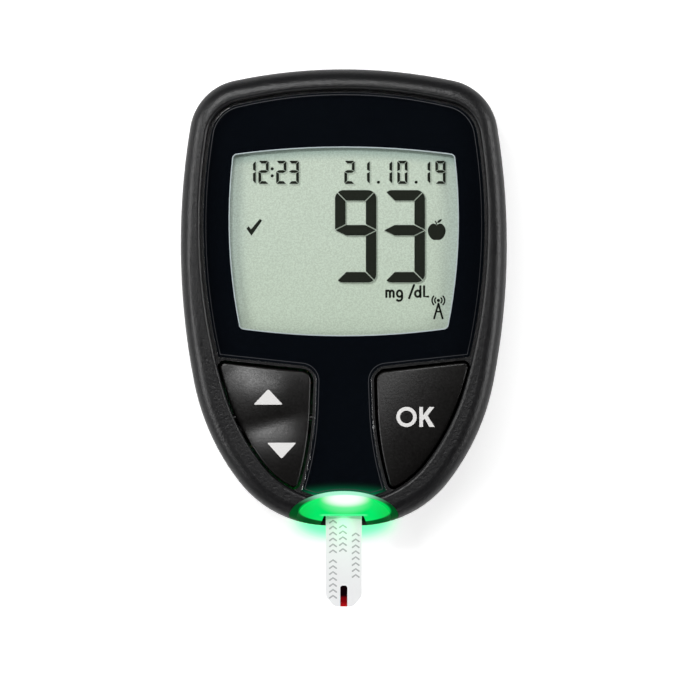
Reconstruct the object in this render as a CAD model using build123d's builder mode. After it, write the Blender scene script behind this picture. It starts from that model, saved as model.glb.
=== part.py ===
from build123d import *
from math import asin, cos, degrees, radians
import os

os.makedirs("parts", exist_ok=True)

# Hand-held blood glucose meter with a test strip in its port. Lengths are in millimetres, turns in degrees.
# X runs to the right of the display, Y to its top and Z out of it. The flat back lies on Z = 0.

# ---- Driving dimensions ----

# Body outline: tangent arcs for crown, shoulder, flank, taper and chin, from the middle of the top edge round to a
# short flat in the middle of the bottom. An angle is how far the edge has turned where that arc ends.
body_top = 39.2
body_bottom = -39.32
crown_radius = 90.7
crown_half_width = 18.86
shoulder_radius = 9.7
shoulder_angle = 80.6
flank_end_set_in = 24.62
flank_angle = 101.1
taper_end_set_in = 7.55
taper_angle = 127.8

# Mouth of the rim: the same chain, drawn in by a rim that widens towards the lower end
rim_width = 3.7
rim_low_width = 4.5
crown_step = 11.8
crown_side_step = 0.57
shoulder_step = 3.1
shoulder_angle_step = 0.3
flank_end_drop = 0.66
flank_angle_step = 4.8
taper_end_rise = 3.22

# Shells
thickness = 18.0
rear_height = 8.0
wall = 1.6
front_draft_angle = 2.0
rear_draft_angle = 3.0
parting_chamfer = 0.2
rear_round = 2.4
rim_round = 2.6
rim_lip_round = 0.6
lip_height = 1.0
lip_inset = 0.8
lip_clearance = 0.1

# Faceplate
lens_depth = 0.7
lens_thickness = 1.2
lens_edge_round = 0.3
lens_gap = 0.35
lens_corner = 0.7
mask_thickness = 0.15
mask_inset = 0.1
deck_thickness = 1.2

# Display window: four shallow arcs
window_top = 25.7
window_top_corner_x = 19.0
window_top_corner_y = 24.4
window_side_x = 19.55
window_side_y = 8.0
window_low_corner_x = 17.8
window_low_corner_y = -5.5
window_bottom = -6.75
window_corner = 0.9
window_margin = 0.8

# Display stack
glass_half_width = 20.6
glass_top = 27.0
glass_bottom = -8.4
glass_thickness = 0.7
polariser_thickness = 0.2
reflector_thickness = 0.2
contact_ledge = 2.4
glass_clearance = 0.1
frame_wall = 1.0
frame_shelf = 1.3
zebra_width = 1.8
zebra_half_length = 18.0

# Keys
key_gap = 0.35
key_lens_gap = 0.75
key_hole_clearance = 0.45
key_stem_x = 5.55
key_top_y = -12.9
key_waist_x = 5.75
key_waist_y = -19.0
key_tip_x = 8.7
key_tip_set_in = 4.72
key_far_x = 26.0
key_far_y = -10.7
key_corner = 1.7
key_end_round = 0.8
key_edge_round = 0.7
key_below_rim = 0.1
pad_radius = 42.0
up_pad_x = -13.4
up_pad_y = -14.6
down_pad_x = -10.6
down_pad_y = -26.4
valley_round = 2.5
rocker_bottom = 13.4
flange_lap = 0.6
flange_thickness = 0.9
flange_play = 0.2
plunger_radius = 1.5
ok_x = 12.3
ok_y = -20.6
ok_pad_radius = 46.0
pivot_y = -20.7
pivot_z = 14.1
pin_radius = 0.6
pin_clearance = 0.1
pin_inner_x = 3.6
pin_outer_x = 20.6
bearing_width = 1.1
bearing_drop = 1.9
bearing_length = 3.0
dome_radius = 2.3
dome_height = 0.6
dome_foil = 0.12
dome_play = 0.05

# Battery bay, cells and door
cell_diameter = 20.0
cell_thickness = 3.2
cell_x = 10.7
cell_y = 21.0
cell_clearance = 0.3
cell_step = 1.2
cell_cap_height = 0.5
cell_edge = 0.25
bay_roof = 1.0
contact_room = 0.45
contact_foil = 0.3
door_thickness = 1.5
door_half_width = 21.7
door_bottom = 8.4
door_clearance = 0.15
door_corner = 2.0
door_recess = 0.15
rail_reach = 0.8
rail_low = 0.7
rail_thickness = 0.5
rail_start = 1.0
pad_thickness = 0.3
pad_margin = 2.2
grip_count = 5
grip_pitch = 1.6
grip_length = 12.0
grip_width = 0.7
grip_depth = 0.4
grip_y = 15.0
bay_wall = 1.6
contact_span = 27.0
contact_arm = 5.0
contact_tab = 3.0
contact_slot = 0.9
contact_foot = 0.5

# Board and what it carries
board_gap = 0.4
board_thickness = 1.0
board_margin = 0.4
board_screw_x = 12.0
board_screw_y = 4.5
board_tail_screw_y = -15.0
post_radius = 1.8
board_screw_head_radius = 1.4
board_screw_head_height = 0.8
board_screw_radius = 0.6
board_screw_length = 4.0

chip_length = 1.6
chip_width = 0.8
chip_height = 0.6
processor_size = 9.0
processor_height = 1.2
processor_chamfer = 0.3
processor_place = (0, 13.0)
memory_length = 5.0
memory_width = 4.0
memory_height = 1.0
memory_place = (8.5, -0.5)
crystal_length = 3.2
crystal_width = 1.5
crystal_height = 0.9
crystal_place = (-6.5, 8.0)
radio_length = 10.0
radio_width = 8.0
radio_board = 0.6
radio_can_height = 1.4
radio_can_margin = 0.5
radio_aerial = 3.0
radio_place = (-12.0, 18.5)
buzzer_radius = 4.5
buzzer_height = 2.4
buzzer_hole = 0.8
buzzer_hole_depth = 1.0
buzzer_place = (12.5, 18.0)
lamp_x = 7.0
lamp_set_in = 5.72
lamp_length = 1.6
lamp_width = 1.0
lamp_height = 0.7

# Case screws, set in from the inside of the wall
upper_screw_set_in = 2.2
upper_screw_y = 4.0
lower_screw_set_in = 2.2
lower_screw_rise = 16.52
boss_radius = 2.3
front_boss_radius = 2.1
front_boss_height = 4.4
screw_radius = 0.8
screw_bite = 3.2
screw_head_radius = 1.6
screw_head_height = 1.4
screw_head_depth = 0.8
screw_clearance = 0.2
screw_drive_width = 0.5
screw_drive_length = 2.0
screw_drive_depth = 0.5

# Strip port, set in from the lower end of the body
scoop_radius = 9.7
scoop_reach = 5.1
scoop_set_in = 1.02
guide_side_wall = 1.4
guide_top_wall = 0.55
guide_clearance = 0.05
scoop_run_out = 6.0
slot_clearance = 0.15
mouth_ledge_set_in = 1.72
mouth_half_width = 3.4
mouth_flare = 0.7

# Test strip
strip_width = 6.2
strip_length = 26.0
strip_stand_out = 13.88
strip_tip_half_width = 1.6
strip_taper = 1.75
strip_corner = 0.45
strip_tip_corner = 1.2
strip_bottom = 9.2
base_thickness = 0.25
spacer_thickness = 0.08
cover_thickness = 0.12
channel_width = 1.2
channel_length = 3.6
channel_round = 0.4
track_count = 5
track_pitch = 1.15
track_width = 0.6
track_thickness = 0.03
track_margin = 3.0

# Strip socket, and its springs by their distance from its front
socket_width = 10.4
socket_set_in = 4.32
socket_back_wall = 1.6
socket_roof = 1.3
spring_width = 0.55
spring_foil = 0.15
spring_play = 0.04
spring_channel = 0.75
spring_foot = 7.0
spring_heel = 5.8
spring_crest = 3.4
spring_nose = 1.8
spring_dip = 0.5
spring_bend = 0.3

# Angles of a closed form, and the most that a wall's normal may leave the level
half_turn = 180
quarter_turn = 90
upright_limit = 0.01

# ---- Heights and places worked out from them ----

lens_top = thickness - lens_depth
lens_bottom = lens_top - lens_thickness
deck_top = lens_bottom - mask_thickness
deck_bottom = deck_top - deck_thickness
key_peak = thickness - key_below_rim
cell_bottom = door_thickness + pad_thickness + dome_play
cell_top = cell_bottom + cell_thickness
bay_top = cell_top + contact_room
board_bottom = bay_top + bay_roof + board_gap
board_top = board_bottom + board_thickness
flank_end_y = body_bottom + flank_end_set_in
taper_end_y = body_bottom + taper_end_set_in
lower_screw_y = body_bottom + lower_screw_rise
key_tip_y = body_bottom + key_tip_set_in
scoop_centre_y = body_bottom + scoop_set_in
mouth_ledge_y = body_bottom + mouth_ledge_set_in
lamp_y = body_bottom + lamp_set_in
socket_front_y = body_bottom + socket_set_in
strip_tip_y = body_bottom - strip_stand_out
strip_end_y = strip_tip_y + strip_length
strip_thickness = base_thickness + spacer_thickness + cover_thickness
strip_top = strip_bottom + strip_thickness
slot_bottom = strip_bottom - slot_clearance
slot_height = strip_thickness + 2 * slot_clearance
scoop_axis_z = slot_bottom + scoop_radius + guide_clearance
polariser_top = deck_bottom - glass_clearance
top_glass_bottom = polariser_top - polariser_thickness - glass_thickness
low_glass_bottom = top_glass_bottom - glass_thickness
reflector_bottom = low_glass_bottom - reflector_thickness
shelf_z = reflector_bottom
frame_half_width = glass_half_width + glass_clearance + frame_wall
zebra_y = glass_bottom + contact_ledge / 2
socket_back_y = strip_end_y + slot_clearance + socket_back_wall
cell_radius = cell_diameter / 2
bay_low_y = cell_y - cell_radius - cell_clearance - bay_wall
cell_places = [(-cell_x, cell_y), (cell_x, cell_y)]
board_screw_places = [
    (-board_screw_x, board_screw_y),
    (board_screw_x, board_screw_y),
    (0, board_tail_screw_y),
]

chip_places = [
    (-14.5, 9.0),
    (-14.5, 6.5),
    (-6.0, 2.0),
    (-2.0, 2.0),
    (2.0, 2.0),
    (8.5, 8.0),
    (8.5, 10.5),
    (-9.0, -1.5),
    (0, -19.5),
    (3.0, -21.5),
]

# ---- Outlines ----


def tangent_arcs(top, crown, crown_half, shoulder, shoulder_end, ends):
    # Radius and turn of each arc. The crown ends at a half width and the shoulder at an angle. Each arc after them
    # ends at a Y and an angle, and its radius follows from where the last one ended.
    crown_end = degrees(asin(crown_half / crown))
    arcs = [(crown, crown_end), (shoulder, shoulder_end - crown_end)]
    crown_drop = crown * (1 - cos(radians(crown_end)))
    shoulder_drop = shoulder * (cos(radians(crown_end)) - cos(radians(shoulder_end)))
    last_y = top - crown_drop - shoulder_drop
    last_angle = shoulder_end
    for end_y, end_angle in ends:
        radius = (last_y - end_y) / (cos(radians(last_angle)) - cos(radians(end_angle)))
        arcs.append((radius, end_angle - last_angle))
        last_y = end_y
        last_angle = end_angle
    return arcs


body_arcs = tangent_arcs(
    body_top,
    crown_radius,
    crown_half_width,
    shoulder_radius,
    shoulder_angle,
    [(flank_end_y, flank_angle), (taper_end_y, taper_angle), (body_bottom, half_turn)],
)
mouth_arcs = tangent_arcs(
    body_top - rim_width,
    crown_radius - crown_step,
    crown_half_width - crown_side_step,
    shoulder_radius - shoulder_step,
    shoulder_angle + shoulder_angle_step,
    [
        (flank_end_y - flank_end_drop, flank_angle + flank_angle_step),
        (taper_end_y + taper_end_rise, taper_angle),
        (body_bottom + rim_low_width, half_turn),
    ],
)


def outline(top, arcs, inset=0.0):
    # Face inside a mirrored chain of tangent arcs, drawn in by inset and closed by a flat
    with BuildSketch() as shape:
        with BuildLine():
            place = Vector(0, top - inset)
            heading = Vector(-1, 0)
            for radius, turn in arcs:
                bend = JernArc(place, heading, radius - inset, turn)
                place = bend @ 1
                heading = bend % 1
            Line(place, (0, place.Y))
            mirror(about=Plane.YZ)
        make_face()
    return shape.sketch


def reach(face, y):
    # X of the right-hand edge of an outline at this height on the body
    chord = Edge.make_line((0, y), (2 * crown_half_width, y))
    return (chord & face).bounding_box().max.X


def grown(shape, amount):
    # The same outline, offset outwards
    with BuildSketch() as bigger:
        add(shape)
        offset(amount=amount)
    return bigger.sketch


def body_outline(inset=0.0):
    return outline(body_top, body_arcs, inset)


def mouth_outline(inset=0.0):
    return outline(body_top - rim_width, mouth_arcs, inset)


body_face = body_outline()
cavity_face = body_outline(wall)
board_face = body_outline(wall + board_margin)
mouth_face = mouth_outline()
lens_field_face = mouth_outline(lens_gap)
key_limit_face = mouth_outline(key_gap)

upper_screw_x = reach(cavity_face, upper_screw_y) - upper_screw_set_in
lower_screw_x = reach(cavity_face, lower_screw_y) - lower_screw_set_in
screw_places = [
    (-upper_screw_x, upper_screw_y),
    (upper_screw_x, upper_screw_y),
    (-lower_screw_x, lower_screw_y),
    (lower_screw_x, lower_screw_y),
]

with BuildSketch() as window_shape:
    with BuildLine():
        upper_right = (window_top_corner_x, window_top_corner_y)
        lower_right = (window_low_corner_x, window_low_corner_y)
        upper_left = (-window_top_corner_x, window_top_corner_y)
        lower_left = (-window_low_corner_x, window_low_corner_y)
        ThreePointArc(upper_left, (0, window_top), upper_right)
        ThreePointArc(upper_right, (window_side_x, window_side_y), lower_right)
        ThreePointArc(lower_right, (0, window_bottom), lower_left)
        ThreePointArc(lower_left, (-window_side_x, window_side_y), upper_left)
    make_face()
    fillet(window_shape.vertices(), window_corner)

# Ground of the right-hand key: below the faceplate and beside its stem
with BuildSketch() as key_ground:
    with BuildLine():
        top_edge = Line((key_far_x, key_far_y), (key_stem_x, key_top_y))
        stem_edge = Line(top_edge @ 1, (key_waist_x, key_waist_y))
        flare_edge = TangentArc(stem_edge @ 1, (key_tip_x, key_tip_y), tangent=stem_edge % 1)
        Polyline(flare_edge @ 1, (key_far_x, key_tip_y), top_edge @ 0)
    make_face()
    fillet(key_ground.vertices().group_by(Axis.X)[0], key_corner)

with BuildSketch() as ok_shape:
    add(key_ground.sketch)
    add(key_limit_face, mode=Mode.INTERSECT)
    fillet(ok_shape.vertices().sort_by(Axis.X)[-1], key_end_round)
    fillet(ok_shape.vertices().sort_by(Axis.Y)[0], key_end_round)

with BuildSketch() as rocker_shape:
    mirror(ok_shape.sketch, about=Plane.YZ)

with BuildSketch() as lens_shape:
    add(lens_field_face)
    key_room = grown(key_ground.sketch, key_lens_gap)
    add(key_room, mode=Mode.SUBTRACT)
    mirror(key_room, about=Plane.YZ, mode=Mode.SUBTRACT)
    lens_corners = lens_shape.vertices().filter_by_position(Axis.Y, key_top_y, 0)
    fillet(lens_corners.group_by(Axis.X)[0] + lens_corners.group_by(Axis.X)[-1], lens_corner)

with BuildSketch() as strip_shape:
    with BuildLine():
        half = strip_width / 2
        side_end_y = strip_tip_y + strip_taper
        Polyline(
            (-half, strip_end_y),
            (-half, side_end_y),
            (-strip_tip_half_width, strip_tip_y),
            (strip_tip_half_width, strip_tip_y),
            (half, side_end_y),
            (half, strip_end_y),
            close=True,
        )
    make_face()
    strip_corners = strip_shape.vertices().sort_by(Axis.Y)
    fillet(strip_corners[:4], strip_tip_corner)
    fillet(strip_corners[4:], strip_corner)


def boss_face(radius):
    # Bosses at the case screws: round on the inner side and run straight out into the side wall
    with BuildSketch() as shape:
        with Locations(screw_places):
            Circle(radius)
        for x, y in screw_places:
            with Locations((x + x / abs(x) * radius, y)):
                Rectangle(2 * radius, 2 * radius)
        add(body_outline(wall / 2), mode=Mode.INTERSECT)
    return shape.sketch


# ---- Blanks that several pieces are cut from ----

with BuildPart() as front_blank:
    with BuildSketch(Plane.XY.offset(rear_height)):
        add(body_face)
    extrude(amount=thickness - rear_height, taper=front_draft_angle)
    fillet(front_blank.faces().sort_by(Axis.Z)[-1].edges(), rim_round)
    chamfer(front_blank.faces().sort_by(Axis.Z)[0].edges(), parting_chamfer)

with BuildPart() as rear_blank:
    with BuildSketch(Plane.XY.offset(rear_height)):
        add(body_face)
    extrude(amount=-rear_height, taper=rear_draft_angle)
    fillet(rear_blank.faces().sort_by(Axis.Z)[0].edges(), rear_round)
    chamfer(rear_blank.faces().sort_by(Axis.Z)[-1].edges(), parting_chamfer)


def scoop(side_reach, top_reach):
    # Spoon-shaped form turned about an axis along Y, with a straight run-out past the lower end of the body
    with BuildPart() as form:
        with BuildSketch(Plane.XY.offset(scoop_axis_z)):
            with BuildLine():
                spoon = EllipticalCenterArc((0, scoop_centre_y), side_reach, top_reach, 0, arc_size=quarter_turn)
                Polyline(
                    spoon @ 1,
                    (0, scoop_centre_y - scoop_run_out),
                    (side_reach, scoop_centre_y - scoop_run_out),
                    spoon @ 0,
                )
            make_face()
        revolve(axis=Axis((0, 0, scoop_axis_z), (0, 1, 0)))
    return form.part


guide_outside = scoop(scoop_radius, scoop_reach)
guide_room = scoop(scoop_radius + guide_clearance, scoop_reach + guide_clearance)
guide_inside = scoop(scoop_radius - guide_side_wall, scoop_reach - guide_top_wall)

# Way of the strip through the port, with its flared outer end
with BuildPart() as slot_tool:
    with BuildSketch(Plane.XY.offset(slot_bottom)):
        with Locations((0, mouth_ledge_y)):
            Rectangle(strip_width + 2 * slot_clearance, 2 * scoop_reach)
    extrude(amount=slot_height)

with BuildPart() as mouth_tool:
    with BuildSketch(Plane.XY.offset(slot_bottom)):
        with BuildLine():
            outer_y = scoop_centre_y - scoop_run_out
            flare_y = body_face.bounding_box().min.Y
            Polyline(
                (-mouth_half_width, mouth_ledge_y),
                (mouth_half_width, mouth_ledge_y),
                (mouth_half_width + mouth_flare, flare_y),
                (mouth_half_width + mouth_flare, outer_y),
                (-mouth_half_width - mouth_flare, outer_y),
                (-mouth_half_width - mouth_flare, flare_y),
                close=True,
            )
        make_face()
    extrude(amount=scoop_radius)

# ---- Front shell ----

with BuildPart() as front_case:
    add(front_blank.part)
    # Mouth for the faceplate and the keys, down to the deck
    with BuildSketch(Plane.XY.offset(deck_top)):
        add(mouth_face)
    extrude(amount=thickness, mode=Mode.SUBTRACT)
    fillet(front_case.faces().sort_by(Axis.Z)[-1].inner_wires()[0].edges(), rim_lip_round)
    # Cavity below the deck, and the rebate for the lip of the rear shell
    with BuildSketch(Plane.XY.offset(rear_height)):
        add(cavity_face)
    extrude(amount=deck_bottom - rear_height, mode=Mode.SUBTRACT)
    with BuildSketch(Plane.XY.offset(rear_height)):
        add(body_outline(lip_inset))
    extrude(amount=lip_height + lip_clearance, mode=Mode.SUBTRACT)
    # Display window and key holes through the deck
    with BuildSketch(Plane.XY.offset(deck_bottom)):
        add(grown(window_shape.sketch, window_margin))
        add(grown(ok_shape.sketch, key_hole_clearance))
        add(grown(rocker_shape.sketch, key_hole_clearance))
    extrude(amount=deck_thickness, mode=Mode.SUBTRACT)
    # Bosses for the case screws
    with BuildSketch(Plane.XY.offset(rear_height)):
        add(boss_face(front_boss_radius))
    extrude(amount=front_boss_height)
    with BuildSketch(Plane.XY.offset(rear_height)):
        with Locations(screw_places):
            Circle(screw_radius)
    extrude(amount=screw_bite, mode=Mode.SUBTRACT)
    # Bearings of the rocker key, hung from the deck
    with BuildSketch(Plane.XY.offset(deck_bottom - bearing_drop)):
        with Locations((-pin_inner_x - bearing_width / 2, pivot_y), (-pin_outer_x + bearing_width / 2, pivot_y)):
            Rectangle(bearing_width, bearing_length)
    extrude(amount=bearing_drop)
    with BuildSketch(Plane.YZ.offset(-pin_outer_x)):
        with Locations((pivot_y, pivot_z)):
            Circle(pin_radius + pin_clearance)
    extrude(amount=pin_outer_x - pin_inner_x, mode=Mode.SUBTRACT)
    # Port
    add(guide_room, mode=Mode.SUBTRACT)
    add(slot_tool.part, mode=Mode.SUBTRACT)
    add(mouth_tool.part, mode=Mode.SUBTRACT)

front_case.part.label = "front_case"
export_step(front_case.part, "parts/front_case.step")

# ---- Faceplate ----

with BuildPart() as display_lens:
    with BuildSketch(Plane.XY.offset(lens_bottom)):
        add(lens_shape.sketch)
    extrude(amount=lens_thickness)
    fillet(display_lens.faces().sort_by(Axis.Z)[-1].edges(), lens_edge_round)
    add(guide_room, mode=Mode.SUBTRACT)

display_lens.part.label = "display_lens"
export_step(display_lens.part, "parts/display_lens.step")

with BuildPart() as lens_mask:
    with BuildSketch(Plane.XY.offset(deck_top)):
        add(grown(lens_shape.sketch, -mask_inset))
        add(window_shape.sketch, mode=Mode.SUBTRACT)
    extrude(amount=mask_thickness)
    add(guide_room, mode=Mode.SUBTRACT)

lens_mask.part.label = "lens_mask"
export_step(lens_mask.part, "parts/lens_mask.step")

# ---- Keys and their domes ----

with BuildPart() as ok_key:
    with BuildSketch(Plane.XY.offset(deck_bottom - flange_play)):
        add(ok_shape.sketch)
    extrude(amount=thickness - deck_bottom + flange_play)
    with Locations((ok_x, ok_y, key_peak - ok_pad_radius)):
        Sphere(ok_pad_radius, mode=Mode.INTERSECT)
    fillet(ok_key.faces().sort_by(Axis.Z)[-1].edges(), key_edge_round)
    with BuildSketch(Plane.XY.offset(deck_bottom - flange_play - flange_thickness)):
        add(grown(ok_shape.sketch, key_hole_clearance + flange_lap))
    extrude(amount=flange_thickness)
    with BuildSketch(Plane.XY.offset(board_top + dome_height + dome_play)):
        with Locations((ok_x, ok_y)):
            Circle(plunger_radius)
    extrude(until=Until.NEXT)

ok_key.part.label = "ok_key"
export_step(ok_key.part, "parts/ok_key.step")

# Two spherical pads that meet in a rounded valley
with BuildPart() as pad_tool:
    with Locations((up_pad_x, up_pad_y, key_peak - pad_radius), (down_pad_x, down_pad_y, key_peak - pad_radius)):
        Sphere(pad_radius)

with BuildPart() as up_down_key:
    with BuildSketch(Plane.XY.offset(rocker_bottom)):
        add(rocker_shape.sketch)
    extrude(amount=thickness - rocker_bottom)
    add(pad_tool.part, mode=Mode.INTERSECT)
    pads = up_down_key.faces().filter_by(GeomType.SPHERE)
    fillet(pads[0].edges() & pads[1].edges(), valley_round)
    walls = up_down_key.faces().filter_by(lambda face: abs(face.normal_at().Z) < upright_limit)
    fillet(walls.edges().filter_by_position(Axis.Z, pivot_z + bearing_drop, thickness), key_edge_round)
    # Hinge pins and plungers
    with BuildSketch(Plane.YZ.offset(-pin_outer_x)):
        with Locations((pivot_y, pivot_z)):
            Circle(pin_radius)
    extrude(amount=pin_outer_x - pin_inner_x)
    with BuildSketch(Plane.XY.offset(board_top + dome_height + dome_play)):
        with Locations((up_pad_x, up_pad_y), (down_pad_x, down_pad_y)):
            Circle(plunger_radius)
    extrude(amount=pivot_z - board_top - dome_height - dome_play)

up_down_key.part.label = "up_down_key"
export_step(up_down_key.part, "parts/up_down_key.step")


def snap_dome(x, y):
    # Thin spherical cap that stands on the board
    crown = (dome_radius ** 2 + dome_height ** 2) / (2 * dome_height)
    with BuildPart() as cap:
        with Locations((x, y, board_top + dome_height - crown)):
            Sphere(crown)
            Sphere(crown - dome_foil, mode=Mode.SUBTRACT)
        split(bisect_by=Plane.XY.offset(board_top), keep=Keep.TOP)
    return cap.part


ok_dome = snap_dome(ok_x, ok_y)
ok_dome.label = "ok_dome"
export_step(ok_dome, "parts/ok_dome.step")

up_dome = snap_dome(up_pad_x, up_pad_y)
up_dome.label = "up_dome"
export_step(up_dome, "parts/up_dome.step")

down_dome = snap_dome(down_pad_x, down_pad_y)
down_dome.label = "down_dome"
export_step(down_dome, "parts/down_dome.step")

# ---- Rear shell ----

with BuildPart() as rear_hollow:
    with BuildSketch(Plane.XY.offset(wall)):
        add(cavity_face)
    extrude(amount=rear_height - wall)
    fillet(rear_hollow.faces().sort_by(Axis.Z)[0].edges(), rear_round - wall)
    # The block round the battery bay stays solid
    with Locations((0, bay_low_y, wall)):
        block_width = 2 * cavity_face.bounding_box().max.X
        block_height = bay_top + bay_roof - wall
        Box(block_width, body_top, block_height, align=(Align.CENTER, Align.MIN, Align.MIN), mode=Mode.SUBTRACT)

with BuildSketch() as door_shape:
    with Locations((0, door_bottom)):
        Rectangle(2 * door_half_width, body_top, align=(Align.CENTER, Align.MIN))
    fillet(door_shape.vertices().group_by(Axis.Y)[0], door_corner)

with BuildPart() as rear_case:
    add(rear_blank.part)
    add(rear_hollow.part, mode=Mode.SUBTRACT)
    # Lip that enters the front shell
    with BuildSketch(Plane.XY.offset(rear_height)):
        add(body_outline(lip_inset + lip_clearance))
        add(cavity_face, mode=Mode.SUBTRACT)
        add(boss_face(front_boss_radius + lip_clearance), mode=Mode.SUBTRACT)
    extrude(amount=lip_height)
    # Screw bosses, and posts for the board
    with BuildSketch(Plane.XY.offset(wall)):
        add(boss_face(boss_radius))
    extrude(amount=rear_height - wall)
    with BuildSketch(Plane.XY.offset(wall)):
        with Locations(board_screw_places):
            Circle(post_radius)
    extrude(amount=board_bottom - wall)
    # Door recess with its rail grooves, and the bay above it
    with BuildSketch():
        add(grown(door_shape.sketch, door_clearance))
    extrude(amount=cell_bottom + door_clearance, mode=Mode.SUBTRACT)
    with BuildSketch(Plane.XY.offset(rail_low - door_clearance)):
        with Locations((0, door_bottom + rail_start - door_clearance)):
            groove_width = 2 * (door_half_width + rail_reach + door_clearance)
            Rectangle(groove_width, body_top, align=(Align.CENTER, Align.MIN))
    extrude(amount=rail_thickness + 2 * door_clearance, mode=Mode.SUBTRACT)
    with BuildSketch(Plane.XY.offset(door_thickness)):
        with Locations(cell_places):
            Circle(cell_radius + cell_clearance)
        with Locations((0, cell_y)):
            Rectangle(contact_span + contact_slot, cell_radius + contact_slot, align=(Align.CENTER, Align.MIN))
    extrude(amount=bay_top - door_thickness, mode=Mode.SUBTRACT)
    with BuildSketch(Plane.XY.offset(cell_top - contact_foil)):
        with Locations((0, cell_y)):
            Rectangle(contact_span + contact_slot, contact_arm + contact_slot)
    extrude(amount=bay_top - cell_top + contact_foil, mode=Mode.SUBTRACT)
    # Slots for the contact tabs
    with BuildSketch(Plane.XY.offset(bay_top)):
        with Locations((0, cell_y), (0, cell_y + cell_radius + contact_foil / 2)):
            Rectangle(contact_tab + contact_slot, contact_slot)
    extrude(amount=bay_roof, mode=Mode.SUBTRACT)
    # Case screw holes with recessed heads, and pilot holes of the board screws
    with BuildSketch():
        with Locations(screw_places):
            Circle(screw_head_radius + screw_clearance)
    extrude(amount=screw_head_depth + screw_head_height, mode=Mode.SUBTRACT)
    with BuildSketch():
        with Locations(screw_places):
            Circle(screw_radius + screw_clearance)
    extrude(amount=rear_height, mode=Mode.SUBTRACT)
    with BuildSketch(Plane.XY.offset(board_top - board_screw_length)):
        with Locations(board_screw_places):
            Circle(board_screw_radius)
    extrude(amount=board_screw_length, mode=Mode.SUBTRACT)

rear_case.part.label = "rear_case"
export_step(rear_case.part, "parts/rear_case.step")

with BuildPart() as battery_door:
    # The door stands back from the face that the body rests on
    with BuildSketch(Plane.XY.offset(door_recess)):
        add(door_shape.sketch)
    extrude(amount=door_thickness - door_recess)
    with BuildSketch(Plane.XY.offset(rail_low)):
        with Locations((0, door_bottom + rail_start)):
            Rectangle(2 * (door_half_width + rail_reach), body_top, align=(Align.CENTER, Align.MIN))
    extrude(amount=rail_thickness)
    add(rear_blank.part, mode=Mode.INTERSECT)
    with BuildSketch(Plane.XY.offset(door_recess)):
        with Locations((0, grip_y)):
            with GridLocations(0, grip_pitch, 1, grip_count):
                SlotOverall(grip_length, grip_width)
    extrude(amount=grip_depth, mode=Mode.SUBTRACT)

battery_door.part.label = "battery_door"
export_step(battery_door.part, "parts/battery_door.step")

with BuildPart() as door_pad:
    with BuildSketch(Plane.XY.offset(door_thickness)):
        with Locations((0, cell_y)):
            RectangleRounded(2 * cell_x + cell_diameter - 2 * pad_margin, cell_diameter - 2 * pad_margin, pad_margin)
    extrude(amount=pad_thickness)

door_pad.part.label = "door_pad"
export_step(door_pad.part, "parts/door_pad.step")

with BuildPart() as case_screws:
    with BuildSketch(Plane.XY.offset(screw_head_depth)):
        with Locations(screw_places):
            Circle(screw_head_radius)
    extrude(amount=screw_head_height)
    with BuildSketch(Plane.XY.offset(screw_head_depth + screw_head_height)):
        with Locations(screw_places):
            Circle(screw_radius)
    extrude(amount=rear_height + screw_bite - screw_head_depth - screw_head_height)
    with BuildSketch(Plane.XY.offset(screw_head_depth)):
        with Locations(screw_places):
            Rectangle(screw_drive_length, screw_drive_width)
            Rectangle(screw_drive_width, screw_drive_length)
    extrude(amount=screw_drive_depth, mode=Mode.SUBTRACT)

case_screws.part.label = "case_screws"
export_step(case_screws.part, "parts/case_screws.step")

# ---- Coin cells and their contacts ----


def coin_cell(x, y):
    # Can with its narrower cap towards the board
    with BuildPart() as cell:
        with Locations((x, y, cell_bottom)):
            Cylinder(cell_radius, cell_thickness - cell_cap_height, align=(Align.CENTER, Align.CENTER, Align.MIN))
        chamfer(cell.edges(), cell_edge)
        with Locations((x, y, cell_top - cell_cap_height)):
            Cylinder(cell_radius - cell_step, cell_cap_height, align=(Align.CENTER, Align.CENTER, Align.MIN))
        fillet(cell.edges().sort_by(Axis.Z)[-1], cell_edge)
    return cell.part


coin_cell_left = coin_cell(*cell_places[0])
coin_cell_left.label = "coin_cell_left"
export_step(coin_cell_left, "parts/coin_cell_left.step")

coin_cell_right = coin_cell(*cell_places[1])
coin_cell_right.label = "coin_cell_right"
export_step(coin_cell_right, "parts/coin_cell_right.step")

with BuildPart() as negative_contact:
    with BuildSketch(Plane.XY.offset(cell_top)):
        with Locations((0, cell_y)):
            Rectangle(contact_span, contact_arm)
    extrude(amount=contact_foil)
    with BuildSketch(Plane.XY.offset(cell_top)):
        with Locations((0, cell_y)):
            Rectangle(contact_tab, contact_foil)
    extrude(amount=board_bottom - cell_top)

negative_contact.part.label = "negative_contact"
export_step(negative_contact.part, "parts/negative_contact.step")

with BuildPart() as positive_contact:
    with BuildSketch(Plane.XY.offset(cell_bottom + contact_foot)):
        with Locations((0, cell_y + cell_radius)):
            Rectangle(contact_span, contact_foil, align=(Align.CENTER, Align.MIN))
    extrude(amount=cell_thickness - cell_cap_height - 2 * contact_foot)
    with BuildSketch(Plane.XY.offset(cell_bottom + contact_foot)):
        with Locations((0, cell_y + cell_radius)):
            Rectangle(contact_tab, contact_foil, align=(Align.CENTER, Align.MIN))
    extrude(amount=board_bottom - cell_bottom - contact_foot)

positive_contact.part.label = "positive_contact"
export_step(positive_contact.part, "parts/positive_contact.step")

# ---- Board and its parts ----

with BuildPart() as main_board:
    with BuildSketch(Plane.XY.offset(board_bottom)):
        add(board_face)
        with Locations(screw_places):
            Circle(boss_radius + board_margin, mode=Mode.SUBTRACT)
        with Locations(board_screw_places):
            Circle(board_screw_radius, mode=Mode.SUBTRACT)
    extrude(amount=board_thickness)

main_board.part.label = "main_board"
export_step(main_board.part, "parts/main_board.step")

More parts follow.
